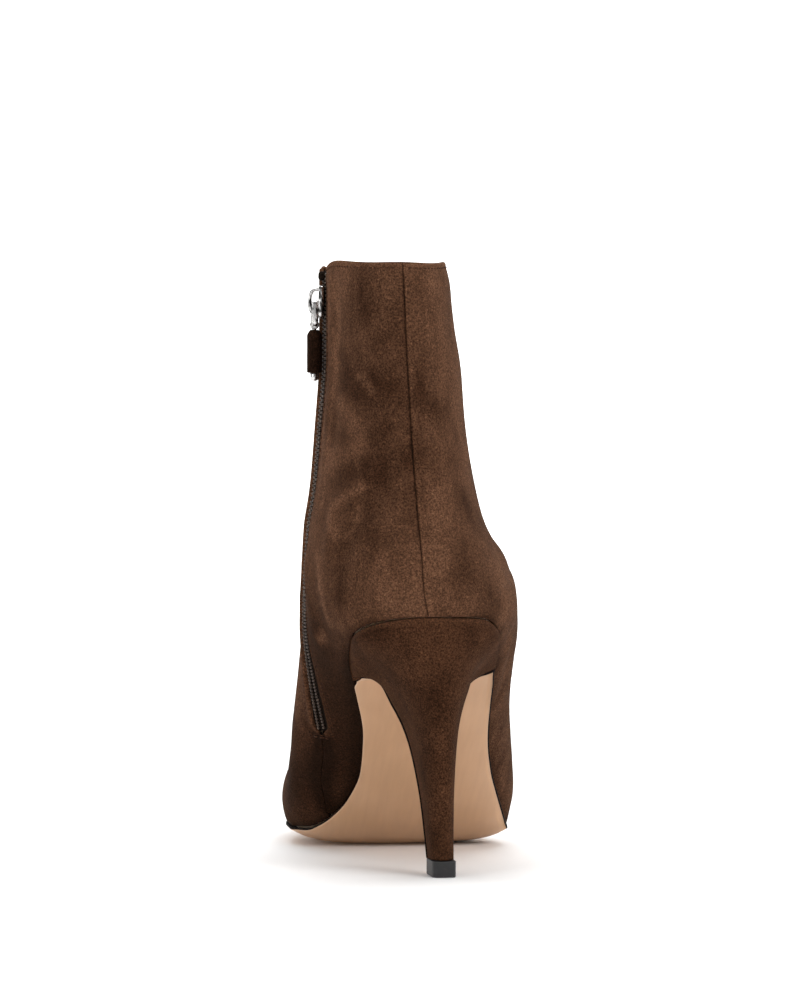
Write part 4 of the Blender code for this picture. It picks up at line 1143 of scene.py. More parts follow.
heel_loops = rolled_rim(heel_ring(0.0))
heel_loops += [heel_ring(count) for count in np.linspace(RIM_END, HEEL_LAST, HEEL_RINGS + 1)]
# Painted shade: the heel's suede is given darker colours than the upper's
HEEL_SHADED_DARK = (0.0250, 0.0100, 0.0047, 1.0)
HEEL_SHADED_LIGHT = (0.0740, 0.0320, 0.0162, 1.0)
HEEL_NAP = 0.8
# The rim's roll is paler for worn nap and a painted highlight, and darker as painted shade where it
# meets the upper
RIM_WEAR_AND_HIGHLIGHT = 0.75
RIM_PALE_LOOPS = 3.0
RIM_PAINTED_SHADE = 1.3
RIM_SHADE_LOOPS = 2.6
loop_numbers = np.arange(len(heel_loops))
rim_wear_and_painted_light = RIM_WEAR_AND_HIGHLIGHT * bell(loop_numbers - RIM_STEPS, RIM_PALE_LOOPS)
rim_wear_and_painted_light -= RIM_PAINTED_SHADE * bell(loop_numbers, RIM_SHADE_LOOPS)
heel = add_piece(
    "heel_cover",
    *closed_loops(heel_loops),
    suede("heel_shaded_suede", HEEL_SHADED_DARK, HEEL_SHADED_LIGHT, drawn_out=HEEL_NAP),
    wear_and_painted_light=np.repeat(rim_wear_and_painted_light, len(heel_loops[0])),
)
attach(heel, "boot")
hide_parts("heel")

# Outsole: one sheet of tan leather, glued under the upper from the toe to the heel's lip and
# down the front of the heel. It is skived thin at its edges, which are inked dark brown, and
# its face is rounded off towards them and waxed to a satin.
SOLE_THICKNESS = 3.2
BREAST_THICKNESS = 1.6
EDGE_THICKNESS = 1.0
BREAST_MARGIN = 0.4
BREAST_ROWS = 64
SOLE_START = 56.0
FULL_SOLE_AFTER = 60.0
TREAD_ROWS = 120
SOLE_TOE_ROWS = 26
SOLE_COLUMNS = 24
SOLE_ROUND = 0.55
FACE_FULLNESS = 0.6
CORNER_CUT = 1.6
CORNER_REACH = 5.0
OUTER_CORNER_SHARE = 0.4
TANGENT_STEP = 0.01
NEARLY_TIP = 0.995
HIDE_STREAKS = 0.12
SOLE_TAN = (0.495, 0.288, 0.155, 1.0)
SOLE_PALE = (0.560, 0.334, 0.190, 1.0)
EDGE_INK = (0.0070, 0.0040, 0.0028, 1.0)


def sole_loop(medial, lateral, top, bottom):
    """One section round the sheet: flat on top, thin at its edges and full in the middle below."""
    full = np.linalg.norm(bottom - top)
    loop = plate_loop(medial, lateral, top, bottom, SOLE_ROUND, SOLE_COLUMNS)
    down = (bottom - top) / full
    depth = (loop[:, 1:] - top) @ down
    across = np.clip(np.abs(loop[:, 0] - (medial + lateral) / 2) / ((lateral - medial) / 2), 0, 1)
    fullness = EDGE_THICKNESS + (full - EDGE_THICKNESS) * (1 - across**2) ** FACE_FULLNESS
    loop[:, 1:] = top + np.outer(depth / full * fullness, down)
    loop[:, 2] += edge_lift(loop[:, 0], loop[:, 1])
    return slipped(loop)


def cut_corner(medial, lateral, away):
    """The sheet's edges, drawn in where they turn from the tread down the heel."""
    cut = CORNER_CUT * bell(away, CORNER_REACH)
    return medial + cut, lateral - cut * OUTER_CORNER_SHARE


def breast_loop(count):
    """A section of the sheet on the heel's front."""
    low = np.array((heel_front_y(count + TANGENT_STEP), heel_front_z(count + TANGENT_STEP)))
    high = np.array((heel_front_y(count - TANGENT_STEP), heel_front_z(count - TANGENT_STEP)))
    climb_line = unit(high - low)
    ahead = np.array((climb_line[1], -climb_line[0]))
    middle = (low + high) / 2
    ring = heel_ring(count)
    medial = ring[HEEL_SIDE_STEPS + 1][0] - BREAST_MARGIN
    lateral = ring[HEEL_SIDE_STEPS][0] + BREAST_MARGIN
    medial, lateral = cut_corner(medial, lateral, float(heel_front_z(0)) - middle[1])
    back = middle + ahead * GAP
    return sole_loop(medial, lateral, back, back + ahead * BREAST_THICKNESS)


def tread_loop(place):
    """A section of the sheet under the upper."""
    medial, lateral = outline(place, SOLE_MARGIN)
    medial, lateral = cut_corner(medial, lateral, place - SOLE_START)
    fullness = min(1.0, (place - SOLE_START) / FULL_SOLE_AFTER)
    thickness = BREAST_THICKNESS + (SOLE_THICKNESS - BREAST_THICKNESS) * fullness
    top = beside_bottom(place, -GAP)
    return sole_loop(medial, lateral, top, beside_bottom(place, -GAP - thickness))


toe_reach = LENGTH + SOLE_MARGIN - TOE_CAP_START
round_toe = TOE_CAP_START + toe_reach * np.sin(QUARTER * np.linspace(0, NEARLY_TIP, SOLE_TOE_ROWS))
tread_places = [*np.linspace(SOLE_START, TOE_CAP_START, TREAD_ROWS)[:-1], *round_toe]
sole_loops = [breast_loop(count) for count in np.linspace(HEEL_LAST, 0, BREAST_ROWS + 1)]
sole_loops += [tread_loop(place) for place in tread_places]


def sole_leather():
    """Tan sole leather: faint streaks along the hide under a thin satin wax."""
    made, shader, place = new_finish("sole_leather", {"Coat Weight": 0.15, "Coat Roughness": 0.35})
    streaks = place.stretched(1.0, HIDE_STREAKS, HIDE_STREAKS).cloud(2.2, 3.0, 0.6)
    clouds = place.cloud(40, 2.0, 0.5)
    colour = clouds.part(0.3, 0.7).blend(SOLE_TAN, SOLE_PALE)
    plug(shader, "Base Color", shaded(colour, 0.9 + streaks * 0.2))
    plug(shader, "Roughness", 0.36 + streaks * 0.14)
    rough_up(shader, streaks * 0.6 + place.cloud(0.5) * 0.4, 0.05, 0.25)
    return made


def inked_edge():
    """Edge ink: a dark brown paint, a little glossy and uneven along the cut leather."""
    fixed = {"Base Color": EDGE_INK, "Specular IOR Level": 0.03}
    made, shader, place = new_finish("edge_ink", fixed)
    plug(shader, "Roughness", 0.6 + place.cloud(1.6) * 0.2)
    rough_up(shader, place.cloud(0.8, 3.0), 0.08, 0.4)
    return made


# The sheet's face below is left tan, and its edges and its glued side are inked
sole = add_piece("sole", *closed_loops(sole_loops), sole_leather())
sole.data.materials.append(inked_edge())
around = len(sole_loops[0])
tan_from = SOLE_COLUMNS + 2 + 2 * CORNER_STEPS
tan_to = around - 2 - CORNER_STEPS
for face in sole.data.polygons:
    place_round = min(face.vertices[0] % around, face.vertices[1] % around)
    face.material_index = 0 if tan_from <= place_round < tan_to else 1
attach(sole, "boot")
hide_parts("outsole")

# Top lift: a hard dark rubber tip pinned under the heel, moulded with sharp edges that are
# just broken where it meets the floor.
LIFT_THICKNESS = 5.7
LIFT_OVERHANG = 0.3
LIFT_BACK_STEPS = 24
LIFT_EDGE = 0.3
LIFT_SQUARE = 0.55
LIFT_INSET = 0.2
SHARP_OVER = math.radians(28)
LIFT_GREY = (0.011, 0.0107, 0.0112, 1.0)
LIFT_SCUFFED = (0.024, 0.023, 0.024, 1.0)


def lift_loop(z, inset):
    """The lift's outline at a height: straight across the front and round at the back."""
    back = float(heel_back_y(HEEL_LAST)) - LIFT_OVERHANG
    front_line = float(heel_front_y(HEEL_LAST)) + GAP + BREAST_THICKNESS + LIFT_OVERHANG
    half = float(heel_half(HEEL_LAST)) + LIFT_OVERHANG - LIFT_INSET / 2
    middle = HEEL_FOOT_X - HEEL_LEAN * LIFT_THICKNESS + LIFT_INSET / 2
    turns = np.linspace(0, math.pi, LIFT_BACK_STEPS + 1)
    corner = np.abs(np.cos(turns)) ** LIFT_SQUARE * np.sign(np.cos(turns))
    xs = middle - (half - inset) * corner
    ys = back + half - (half - inset) * np.sin(turns) ** LIFT_SQUARE
    ends = [(middle + half - inset, front_line - inset), (middle - half + inset, front_line - inset)]
    flat = np.concatenate((np.column_stack((xs, ys)), ends))
    return np.column_stack((flat, np.full(len(flat), z)))


def lift_rubber():
    """Hard moulded rubber, nearly black, with paler scuffs."""
    made, shader, place = new_finish("lift_rubber", {})
    scuffs = place.cloud(2.5, 4.0, 0.65)
    plug(shader, "Base Color", scuffs.part(0.45, 0.8).blend(LIFT_GREY, LIFT_SCUFFED))
    plug(shader, "Roughness", 0.42 + scuffs * 0.3)
    rough_up(shader, place.cloud(0.4, 3.0), 0.06, 0.4)
    return made


lift_loops = [
    lift_loop(0.0, LIFT_EDGE),
    lift_loop(LIFT_EDGE, 0.0),
    lift_loop(LIFT_THICKNESS - LIFT_EDGE / 2, 0.0),
    lift_loop(LIFT_THICKNESS, LIFT_EDGE / 2),
]
lift = add_piece("lift", *closed_loops(lift_loops), lift_rubber())
lift.data.set_sharp_from_angle(angle=SHARP_OVER)
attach(lift, "boot")
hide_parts("top_lift")

# Zip: woven brown tape sewn behind the folded edges of the suede, with two rows of moulded
# coil teeth that lie nearly flush with it. It runs from the collar, where the tape's end is
# folded over, to the waist.
ZIP_INSET = 0.03
ZIP_SAMPLES = 700
ZIP_TILT = math.radians(10)
TAPE_ROWS = 220
TAPE_HALF = 5.0
TAPE_DEPTH = 1.25
TAPE_THICKNESS = 0.5
TAPE_COLUMNS = 12
TAPE_END_FROM = 0.2
TAPE_END_TO = 3.6
TAPE_END_RADIUS = 1.3
TAPE_END_OUT = 0.6
TAPE_END_STATIONS = 9
TAPE_END_SIDES = 12
TWILL_SLANT = 0.9
TWILL_RIBS = 420.0
TOOTH_PITCH = 1.5
TOOTH_REACH = 1.45
TOOTH_CLEAR = 0.75
TOOTH_RADIUS = 0.4
TOOTH_SLANT = 0.5
TOOTH_SINK = 0.6
TOOTH_BOW = 0.2
TOOTH_STATIONS = 7
TOOTH_SIDES = 8
TAPE_BROWN = (0.0075, 0.0045, 0.0032, 1.0)
TAPE_LIGHT = (0.016, 0.0100, 0.0070, 1.0)
COIL_BROWN = (0.042, 0.0270, 0.0185, 1.0)
COIL_PALE = (0.120, 0.0830, 0.0600, 1.0)

zip_counts = np.linspace(ZIP_INSET, ZIP_END - ZIP_INSET, ZIP_SAMPLES)
zip_line = settled(upper_point(zip_counts, zip_turn(zip_counts), MEDIAL))
wall_out = wall_frame(zip_counts, zip_turn(zip_counts), MEDIAL)[0]
zip_along = unit(np.gradient(zip_line, axis=0))
wall_across = unit(np.cross(zip_along, wall_out))
zip_out = wall_out * math.cos(ZIP_TILT) - wall_across * math.sin(ZIP_TILT)
zip_across = wall_across * math.cos(ZIP_TILT) + wall_out * math.sin(ZIP_TILT)
zip_walk = walked(zip_line)


def along_line(places, walk, table):
    """The points or directions of a table along a line, at distances walked along it."""
    return np.stack([np.interp(places, walk, values) for values in table.T], axis=-1)


def on_zip(places):
    """The zip's middle line and its directions (out, across, down) at distances along it."""
    tables = (zip_line, zip_out, zip_across, zip_along)
    return [along_line(places, zip_walk, table) for table in tables]


BAR_FULLNESS = 4
BAR_TIP = 0.05


def capsules(starts, ends, radius, bow, out, stations, sides):
    """Many small rounded bars joined in one mesh, each from a start to an end, bowed outward."""
    run = ends - starts
    length = np.linalg.norm(run, axis=1, keepdims=True)
    ahead = run / length
    side = unit(np.cross(ahead, out))
    lift_dir = np.cross(side, ahead)
    shares = np.sin(np.linspace(-QUARTER, QUARTER, stations))
    angles = np.linspace(0, 2 * math.pi, sides, endpoint=False)
    fat = radius * (1 - shares**BAR_FULLNESS) ** 0.5 + radius * BAR_TIP
    points = []
    for share, size in zip(shares, fat):
        spine = (starts + ends) / 2 + run / 2 * share + lift_dir * bow * (1 - share**2)
        for angle in angles:
            points.append(spine + side * size * math.cos(angle) + lift_dir * size * math.sin(angle))
    points = np.stack(points, axis=1)
    pattern = []
    for i in range(stations - 1):
        for j in range(sides):
            k = (j + 1) % sides
            pattern.append((i * sides + j, i * sides + k, (i + 1) * sides + k, (i + 1) * sides + j))
    pattern = np.array(pattern)
    shift = np.arange(len(starts)) * stations * sides
    faces = (pattern[None] + shift[:, None, None]).reshape(-1, 4).tolist()
    ends_pattern = (list(range(sides))[::-1], [(stations - 1) * sides + j for j in range(sides)])
    faces += [[corner + int(s) for corner in cap] for s in shift for cap in ends_pattern]
    return points.reshape(-1, 3), faces


def merged(*meshes):
    """Several lists of points and faces as one."""
    points = []
    faces = []
    for more_points, more_faces in meshes:
        offset = sum(len(part) for part in points)
        points.append(np.asarray(more_points))
        faces += [[corner + offset for corner in face] for face in more_faces]
    return np.concatenate(points), faces


def zip_tape():
    """Twill tape: fine slanting ribs across a dark brown weave."""
    made, shader, place = new_finish("zip_tape", {"Specular IOR Level": 0.05})
    values = {"Vector": place, "Angle": TWILL_SLANT}
    slanted = place.node("ShaderNodeVectorRotate", {"rotation_type": "X_AXIS"}, values)
    values = {"Vector": slanted, "Scale": TWILL_RIBS}
    ribs = place.node("ShaderNodeTexWave", {"bands_direction": "Z"}, values)
    plug(shader, "Base Color", ribs.blend(TAPE_BROWN, TAPE_LIGHT))
    plug(shader, "Roughness", 0.75 + place.cloud(0.6) * 0.2)
    rough_up(shader, ribs, 0.15, 0.6)
    return made


middle, out, across, _ = on_zip(np.linspace(0, zip_walk[-1], TAPE_ROWS))
tape_loops = []
tape_columns = np.linspace(-TAPE_HALF, TAPE_HALF, TAPE_COLUMNS + 1)
for spot, outward, sideways in zip(middle, out, across):
    face = [spot + sideways * x - outward * TAPE_DEPTH for x in tape_columns]
    back = [point - outward * TAPE_THICKNESS for point in face[::-1]]
    tape_loops.append(np.array(face + back))
end_spots, end_out, _, _ = on_zip(np.array((TAPE_END_FROM, TAPE_END_TO)))
end_spots = end_spots + end_out * TAPE_END_OUT
folded_end = capsules(
    end_spots[:1], end_spots[1:], TAPE_END_RADIUS, 0.0, end_out[:1], TAPE_END_STATIONS, TAPE_END_SIDES
)
tape = add_piece("zip_tape", *merged(closed_loops(tape_loops), folded_end), zip_tape())
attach(tape, "boot")
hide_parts("zip_chain")


def coil_nylon():
    """Moulded coil: bronze-brown monofilament, smooth and a little glossy."""
    made, shader, place = new_finish("coil_nylon", {"Specular IOR Level": 0.45})
    plug(shader, "Base Color", place.cloud(1.2).part(0.35, 0.7).blend(COIL_BROWN, COIL_PALE))
    plug(shader, "Roughness", 0.28 + place.cloud(2.0) * 0.15)
    rough_up(shader, place.cloud(0.3), 0.03, 0.3)
    return made


tooth_rows = []
for row, shift in ((-1, 0.0), (1, TOOTH_PITCH / 2)):
    walk = np.arange(TOOTH_PITCH + shift, zip_walk[-1] - TOOTH_PITCH, TOOTH_PITCH)
    middle, out, across, along = on_zip(walk)
    base = middle - out * TOOTH_SINK
    heads = base + across * row * TOOTH_CLEAR + along * TOOTH_SLANT
    roots = base + across * row * TOOTH_REACH - along * TOOTH_SLANT
    bars = capsules(roots, heads, TOOTH_RADIUS, TOOTH_BOW, out, TOOTH_STATIONS, TOOTH_SIDES)
    tooth_rows.append(bars)
teeth = add_piece("zip_teeth", *merged(*tooth_rows), coil_nylon())
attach(teeth, "boot")

# Stitches: brown thread sewn in one row below the topline, down both sides of the zip and in a
# bar tack across the zip's end. Each stitch dives into the suede at its ends.
THREAD = (0.030, 0.0130, 0.0070, 1.0)
THREAD_LIGHT = (0.075, 0.0340, 0.0190, 1.0)
STITCH_PITCH = 2.3
STITCH_LENGTH = 1.75
STITCH_RADIUS = 0.26
STITCH_BOW = 0.22
STITCH_SINK = 0.14
STITCH_STATIONS = 6
STITCH_SIDES = 6
ZIP_STITCH_FROM = 0.1
ZIP_STITCH_OUT = 2.0
TACK_ROWS = 2
TACK_STITCHES = 5
TACK_SPACING = 1.1


def sewing_thread():
    """Spun brown thread: dull, with its twist just showing."""
    made, shader, place = new_finish("sewing_thread", {"Specular IOR Level": 0.05})
    plug(shader, "Base Color", place.cloud(0.8, 3.0).part(0.3, 0.7).blend(THREAD, THREAD_LIGHT))
    plug(shader, "Roughness", 0.75 + place.cloud(0.5) * 0.2)
    rough_up(shader, place.stretched(1.0, 1.0, 3.0).cloud(0.25), 0.06, 0.5)
    return made


stitch_starts = []
stitch_ends = []
stitch_out = []


def sew(line, out):
    """A row of stitches along a line on the suede, with the suede's outward directions."""
    walk = walked(line)
    begins = np.arange(STITCH_PITCH, walk[-1] - STITCH_PITCH, STITCH_PITCH)
    sunk = line - out * STITCH_SINK
    stitch_starts.append(along_line(begins, walk, sunk))
    stitch_ends.append(along_line(begins + STITCH_LENGTH, walk, sunk))
    stitch_out.append(unit(along_line(begins + STITCH_LENGTH / 2, walk, out)))


stitch_row = int(np.argmin(np.abs(counts * FIRST_DROP - STITCH_DROP)))
for panel in (behind, front):
    sew(panel.points[stitch_row], panel.out[stitch_row])
beside_zip = np.nonzero((counts > ZIP_STITCH_FROM) & (counts < ZIP_END))[0]
zip_sides = (
    (behind, behind_arcs, zip_arcs - slot_half - slot_roll - ZIP_STITCH_OUT),
    (front, before_arcs, zip_arcs + slot_half + slot_roll + ZIP_STITCH_OUT),
)
for panel, arcs, aside in zip_sides:
    width = arcs.shape[1]
    line = [along_line(aside[row], arcs[row], panel.points[row, :width]) for row in beside_zip]
    out = [along_line(aside[row], arcs[row], panel.out[row, :width]) for row in beside_zip]
    sew(np.array(line), unit(np.array(out)))
middle, out, across, along = on_zip(np.array([zip_walk[-1]]))
for row in range(TACK_ROWS):
    for spot in range(TACK_STITCHES):
        offset = spot - (TACK_STITCHES - 1) / 2
        aside = offset * STITCH_PITCH - STITCH_LENGTH / 2
        start = middle + along * (row + 1) * TACK_SPACING + across * aside
        stitch_starts.append(start)
        stitch_ends.append(start + across * STITCH_LENGTH)
        stitch_out.append(out)
stitch_mesh = capsules(
    np.concatenate(stitch_starts),
    np.concatenate(stitch_ends),
    STITCH_RADIUS,
    STITCH_BOW,
    np.concatenate(stitch_out),
    STITCH_STATIONS,
    STITCH_SIDES,
)
stitches = add_piece("stitches", *stitch_mesh, sewing_thread())
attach(stitches, "boot")

# Slider: die-cast and plated metal, a plate that is wider at its shoulders, with rolled flanges
# and an arched crown that holds the pull. It sits near the collar with the zip closed.
hinges = {joint["name"]: joint for joint in frame["record"]["behaviour"]["joints"]}
LINK_HINGE = np.array(hinges["link_swing"]["pos_m"]) / MM + ORIGIN
PULL_HINGE = np.array(hinges["pull_swing"]["pos_m"]) / MM + ORIGIN
SLIDER_X = unit(np.array(hinges["link_swing"]["axis"], float))
SLIDER_UP = unit(LINK_HINGE - PULL_HINGE)
SLIDER_OUT = np.cross(SLIDER_UP, SLIDER_X)
HINGE_OUT = 3.3
SLIDER_LENGTH = 11.6
SLIDER_WIDTH = 8.4
SLIDER_FOOT_WIDTH = 6.4
SLIDER_PLATE = 1.9
SLIDER_ROUND = 0.5
SLIDER_CORNERS = 6
SLIDER_END_WIDTH = 0.55
SLIDER_END_THICKNESS = 0.45
CROWN_OUT = 5.0
CROWN_HALF_LENGTH = 4.6
CROWN_HALF_WIDTH = 1.0
CROWN_HALF_DEPTH = 0.7
CROWN_SQUARE = 0.5
CROWN_STATIONS = 40
CROWN_SIDES = 14
SLIDER_ROWS = 28
SLIDER_COLUMNS = 14
PLATE_SILVER = (0.72, 0.71, 0.70, 1.0)
PLATE_DARK_REFLECTION = (0.055, 0.052, 0.050, 1.0)


def on_slider(points):
    """Points given across, out of and up the slider, in millimetres, moved onto the zip."""
    points = np.asarray(points, float)
    middle = LINK_HINGE - SLIDER_OUT * HINGE_OUT
    axes = np.stack((SLIDER_X, SLIDER_OUT, SLIDER_UP))
    return middle + points @ axes


def plated_metal(name, roughness):
    """Bright nickel plate with painted dark reflections in streaks, and faint polishing marks."""
    made, shader, place = new_finish(name, {"Metallic": 1.0})
    # Painted reflection: near-black streaks stand in for dark surroundings mirrored in the plate
    painted_dark_reflection = place.stretched(1.0, 1.0, 0.45).cloud(1.4, 1.0).part(0.46, 0.62)
    plug(shader, "Base Color", painted_dark_reflection.blend(PLATE_SILVER, PLATE_DARK_REFLECTION))
    marks = place.stretched(1.0, 1.0, 0.2).cloud(0.6, 3.0)
    plug(shader, "Roughness", roughness + marks * 0.12)
    rough_up(shader, marks, 0.02, 0.25)
    return made


def tube(path, across, deep, sides, side_way, closed=False, square=1.0):
    """Loops of an oval bar along a path, squarer below 1; side_way is its first width's direction."""
    path = np.asarray(path, float)
    if closed:
        along_path = unit(np.roll(path, -1, axis=0) - np.roll(path, 1, axis=0))
    else:
        along_path = unit(np.gradient(path, axis=0))
    side = unit(side_way - along_path * (along_path @ side_way)[:, None]) * across
    other = unit(np.cross(along_path, side)) * deep
    angles = np.linspace(0, 2 * math.pi, sides, endpoint=False)
    cosines = np.sign(np.cos(angles)) * np.abs(np.cos(angles)) ** square
    sines = np.sign(np.sin(angles)) * np.abs(np.sin(angles)) ** square
    ring = [side * c + other * s for c, s in zip(cosines, sines)]
    return list(np.stack(ring, axis=1) + path[:, None])


def ring_faces(loops):
    """Points and faces of a skin through closed loops that come back to the first one."""
    points, faces = closed_loops(loops + [loops[0]])
    last = len(loops) * len(loops[0])
    return points[:last], [[corner % last for corner in face] for face in faces[:-2]]


slider_loops = []
for share in np.sin(np.linspace(-QUARTER, QUARTER, SLIDER_ROWS)):
    narrowing = (share + 1) / 2
    half = (SLIDER_FOOT_WIDTH + (SLIDER_WIDTH - SLIDER_FOOT_WIDTH) * narrowing) / 2
    fill = (1 - share**SLIDER_CORNERS) ** 0.5
    half = half * (SLIDER_END_WIDTH + (1 - SLIDER_END_WIDTH) * fill)
    thick = SLIDER_PLATE * (SLIDER_END_THICKNESS + (1 - SLIDER_END_THICKNESS) * fill)
    low = GAP + (SLIDER_PLATE - thick) / 2
    top = np.array((low + thick, share))
    bottom = np.array((low, share))
    loop = plate_loop(-half, half, top, bottom, SLIDER_ROUND, SLIDER_COLUMNS)
    loop[:, 2] = share * SLIDER_LENGTH / 2
    slider_loops.append(on_slider(loop))
crown_start = GAP + SLIDER_PLATE / 2
crown_angles = np.linspace(0, math.pi, CROWN_STATIONS)
crown_rise = crown_start + (CROWN_OUT - crown_start) * np.sin(crown_angles) ** CROWN_SQUARE
crown_path = np.column_stack((0 * crown_angles, crown_rise, CROWN_HALF_LENGTH * np.cos(crown_angles)))
ACROSS = np.array((1.0, 0.0, 0.0))
OUTWARD = np.array((0.0, 1.0, 0.0))
crown_loops = tube(crown_path, CROWN_HALF_WIDTH, CROWN_HALF_DEPTH, CROWN_SIDES, ACROSS)
crown_loops = [on_slider(loop) for loop in crown_loops]
slider_mesh = merged(closed_loops(slider_loops), closed_loops(crown_loops))
slider = add_piece("slider", *slider_mesh, plated_metal("slider_plate", 0.16))
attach(slider, "boot")
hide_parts("zip_slider")

# Pull link: a bent wire frame with its side bars flattened, plated like the slider. Its top bar
# hangs in the crown, so that it swings out and up, and its lower bar carries the pull.
LINK_LENGTH = 8.2
LINK_HALF_WIDTH = 2.3
LINK_WIRE = 0.7
LINK_CORNER = 1.0
LINK_CORNER_STEPS = 8
LINK_BAR = 1.15
LINK_SQUARE = 0.45
LINK_SIDES = 20
link_path = []
for quarter, (sideways, low) in enumerate(((1, 0), (-1, 0), (-1, 1), (1, 1))):
    centre_x = sideways * (LINK_HALF_WIDTH - LINK_CORNER)
    centre_z = LINK_CORNER - LINK_LENGTH if low else -LINK_CORNER
    for i in range(LINK_CORNER_STEPS + 1):
        angle = QUARTER * (quarter + i / LINK_CORNER_STEPS)
        x = centre_x + LINK_CORNER * math.cos(angle)
        link_path.append((x, HINGE_OUT, centre_z + LINK_CORNER * math.sin(angle)))
link_path = np.array(link_path)
on_side_bar = eased(np.abs(link_path[:, :1]), LINK_HALF_WIDTH - LINK_CORNER, LINK_HALF_WIDTH)
link_depth = LINK_WIRE + (LINK_BAR - LINK_WIRE) * on_side_bar
link_loops = tube(link_path, link_depth, LINK_WIRE, LINK_SIDES, OUTWARD, True, LINK_SQUARE)
link_loops = [on_slider(loop) for loop in link_loops]
link = add_piece("link", *ring_faces(link_loops), plated_metal("link_plate", 0.2))
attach(link, "link")
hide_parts("pull_link")

# Pull: a plated pin with an eye on the link and a round nut screwed on below, through a barrel
# of rolled suede with its seam along one side.
EYE_RADIUS = 1.3
EYE_WIRE = 0.45
EYE_STATIONS = 28
EYE_SIDES = 10
PIN_RADIUS = 0.7
BARREL_RADIUS = 2.65
BARREL_TOP = 1.8
BARREL_LENGTH = 15.4
BARREL_ROUND = 0.5
BARREL_NECK = 1.5
BARREL_SHOULDER = 2.2
BELOW_SHOULDER = 1.2
ROUND_STATIONS = 5
BARREL_STATIONS = 30
NUT_RADIUS = 1.7
NUT_HEIGHT = 2.7
NUT_STATIONS = 10
NUT_CLEAR = 0.05
NUT_EDGE = 0.25
NUT_CLOSES = 0.99
TURNED_SIDES = 36
BARREL_DARK = (0.0125, 0.0056, 0.0034, 1.0)
BARREL_LIGHT = (0.0320, 0.0150, 0.0085, 1.0)
SEAM_TURN = 0.9
SEAM_NICK = 0.22
SEAM_WIDTH = 0.14


def on_pull(points):
    """Points given across, out and up from the pull's hinge, in millimetres."""
    return on_slider(np.asarray(points, float) + np.array((0.0, HINGE_OUT, -LINK_LENGTH)))


def turned_loops(profile, nick=0.0):
    """Loops of a turned piece from (radius, height) pairs, with a seam nicked along one side."""
    angles = np.linspace(0, 2 * math.pi, TURNED_SIDES, endpoint=False)
    seam = nick * bell(angles - SEAM_TURN, SEAM_WIDTH)
    loops = []
    for radius, height in profile:
        size = radius - seam * min(1.0, radius)
        heights = np.full(TURNED_SIDES, height)
        loops.append(on_pull(np.column_stack((size * np.cos(angles), size * np.sin(angles), heights))))
    return loops


barrel_low = -BARREL_TOP - BARREL_LENGTH
nut_top = barrel_low - NUT_CLEAR
nut_round = barrel_low - GAP - NUT_HEIGHT / 2
nut_angles = np.linspace(0, -QUARTER * NUT_CLOSES, NUT_STATIONS)
pin_profile = [(PIN_RADIUS, -EYE_RADIUS), (PIN_RADIUS, nut_top)]
pin_profile += [(NUT_RADIUS - NUT_EDGE, nut_top), (NUT_RADIUS, nut_top - NUT_EDGE)]
pin_profile += [(NUT_RADIUS * math.cos(a), nut_round + NUT_HEIGHT / 2 * math.sin(a)) for a in nut_angles]
eye_angles = np.linspace(0, 2 * math.pi, EYE_STATIONS, endpoint=False)
eye_path = EYE_RADIUS * np.column_stack((0 * eye_angles, np.cos(eye_angles), np.sin(eye_angles)))
eye_loops = tube(eye_path, EYE_WIRE, EYE_WIRE, EYE_SIDES, ACROSS, True)
eye_mesh = ring_faces([on_pull(loop) for loop in eye_loops])
pin_mesh = merged(closed_loops(turned_loops(pin_profile)), eye_mesh)
pin = add_piece("pin", *pin_mesh, plated_metal("pin_plate", 0.18))
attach(pin, "pull")
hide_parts("pull_pin")

barrel_profile = [(PIN_RADIUS + GAP, -BARREL_TOP)]
for share in np.linspace(0, 1, ROUND_STATIONS):
    widening = (BARREL_RADIUS - BARREL_NECK) * math.sin(share * QUARTER)
    barrel_profile.append((BARREL_NECK + widening, -BARREL_TOP - BARREL_SHOULDER * share))
straight_top = -BARREL_TOP - BELOW_SHOULDER * BARREL_SHOULDER
for z in np.linspace(straight_top, barrel_low + 2 * BARREL_ROUND, BARREL_STATIONS):
    barrel_profile.append((BARREL_RADIUS, z))
for a in np.linspace(QUARTER, 0, ROUND_STATIONS):
    radius = BARREL_RADIUS - BARREL_ROUND + BARREL_ROUND * math.sin(a)
    barrel_profile.append((radius, barrel_low + BARREL_ROUND * (1 - math.cos(a))))
barrel_profile.append((PIN_RADIUS + GAP, barrel_low))
barrel_mesh = ring_faces(turned_loops(barrel_profile, SEAM_NICK))
barrel = add_piece("barrel", *barrel_mesh, suede("barrel_suede", BARREL_DARK, BARREL_LIGHT))
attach(barrel, "pull")
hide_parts("pull_barrel")

# Stage: a plain pale floor that runs up into a backdrop, soft light from large panels, and the
# photograph's camera, turned a little to bring the boot to the middle.
FLOOR_HALF = 12.0
FLOOR_FRONT = -12.0
WALL_AT = 2.4
COVE = 1.2
WALL_TOP = 5.0
COVE_STEPS = 16
FLOOR_PALE = (0.88, 0.875, 0.87, 1.0)
GLOWS_FROM_TO = (0.7, 1.9)
FLOOR_PAINTED_GLOW = 0.75
cove = [(FLOOR_FRONT, 0.0), (WALL_AT - COVE, 0.0)]
for a in np.linspace(0, QUARTER, COVE_STEPS + 1)[1:]:
    cove.append((WALL_AT - COVE + COVE * math.sin(a), COVE - COVE * math.cos(a)))
cove.append((WALL_AT, WALL_TOP))
floor_points = [(x, y, z) for y, z in cove for x in (-FLOOR_HALF, FLOOR_HALF)]
floor_mesh = bpy.data.meshes.new("floor")
floor_mesh.from_pydata(floor_points, [], grid_faces(len(cove), 2))
floor_mesh.shade_smooth()
floor_fixed = {"Base Color": FLOOR_PALE, "Emission Strength": 1.0}
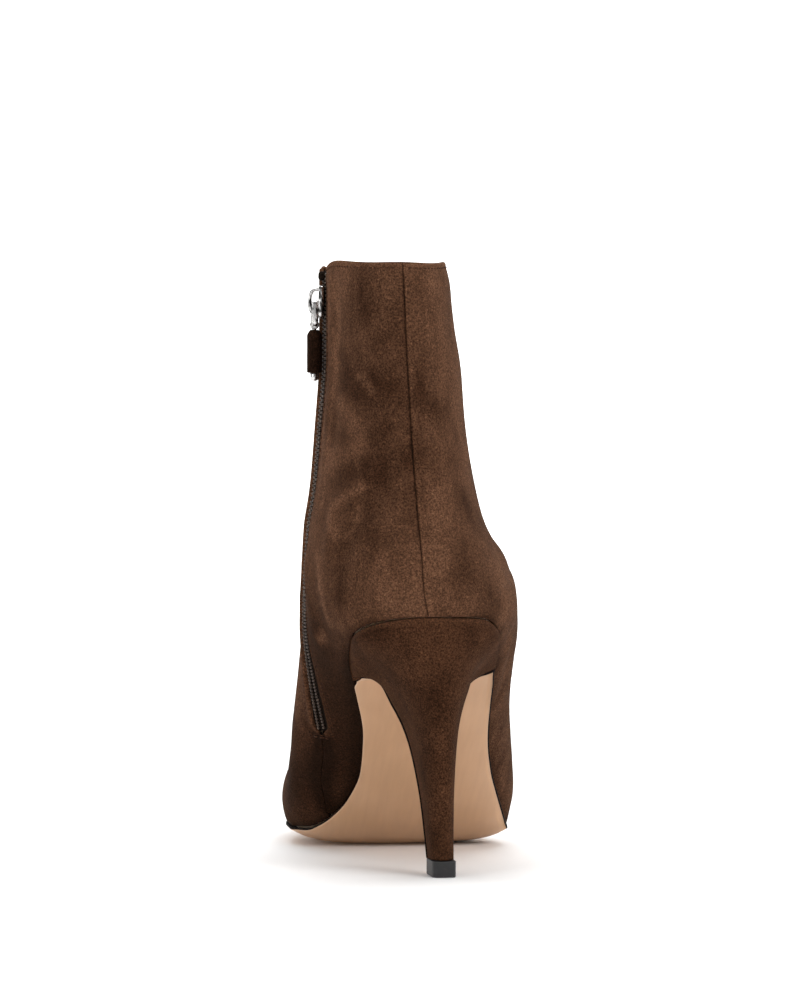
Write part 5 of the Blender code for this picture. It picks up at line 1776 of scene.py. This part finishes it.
pale_floor, floor_shader, floor_place = new_finish("pale_floor", floor_fixed)
# Painted light: the floor glows, rising from 0.7 m to 1.9 m away from the boot, lighting it low from all
# round
from_boot = floor_place.node("ShaderNodeVectorMath", {"operation": "LENGTH"}, {0: floor_place}, "Value")
plug(floor_shader, "Emission Color", grey_of(from_boot.part(*GLOWS_FROM_TO) * FLOOR_PAINTED_GLOW))
plug(floor_shader, "Roughness", 0.55 + floor_place.cloud(60) * 0.2)
floor_mesh.materials.append(pale_floor)
floor = bpy.data.objects.new("floor", floor_mesh)
bpy.context.scene.collection.objects.link(floor)

CAMERA_PLACE = (-0.2102, -1.3892, 0.132)
PHOTO_YAW = 7.0
CENTRING_YAW = 1.55
CAMERA_LENS = 134.1
camera_data = bpy.data.cameras.new("camera")
camera_data.lens = CAMERA_LENS
camera = bpy.data.objects.new("camera", camera_data)
camera.location = CAMERA_PLACE
camera.rotation_euler = (QUARTER, 0.0, -math.radians(PHOTO_YAW + CENTRING_YAW))
bpy.context.scene.collection.objects.link(camera)
bpy.context.scene.camera = camera

Panel = namedtuple("Panel", "name place aimed size watts")
PANELS = [
    Panel("key_panel", (1.15, -1.55, 1.25), (0.0, -0.05, 0.1), 0.9, 21.0),
    Panel("fill_panel", (-1.5, -1.3, 0.9), (0.0, 0.0, 0.1), 1.0, 9.5),
    Panel("top_panel", (0.0, 0.2, 2.4), (0.0, 0.1, 0.0), 2.2, 40.0),
    Panel("backdrop_panel", (0.0, 0.7, 2.6), (0.0, 2.4, 0.6), 2.4, 22.0),
]
for panel in PANELS:
    lamp_data = bpy.data.lights.new(panel.name, "AREA")
    lamp_data.energy = panel.watts
    lamp_data.size = panel.size
    lamp = bpy.data.objects.new(panel.name, lamp_data)
    lamp.location = panel.place
    towards = Vector(panel.aimed) - Vector(panel.place)
    lamp.rotation_euler = towards.to_track_quat("-Z", "Y").to_euler()
    bpy.context.scene.collection.objects.link(lamp)
FILL = 0.25
FILL_WHITE = (1.0, 1.0, 1.0, 1.0)
world = bpy.data.worlds.new("studio")
world.use_nodes = True
surround = world.node_tree.nodes["Background"]
surround.inputs["Color"].default_value = FILL_WHITE
surround.inputs["Strength"].default_value = FILL
bpy.context.scene.world = world
bpy.context.scene.view_settings.view_transform = "Standard"
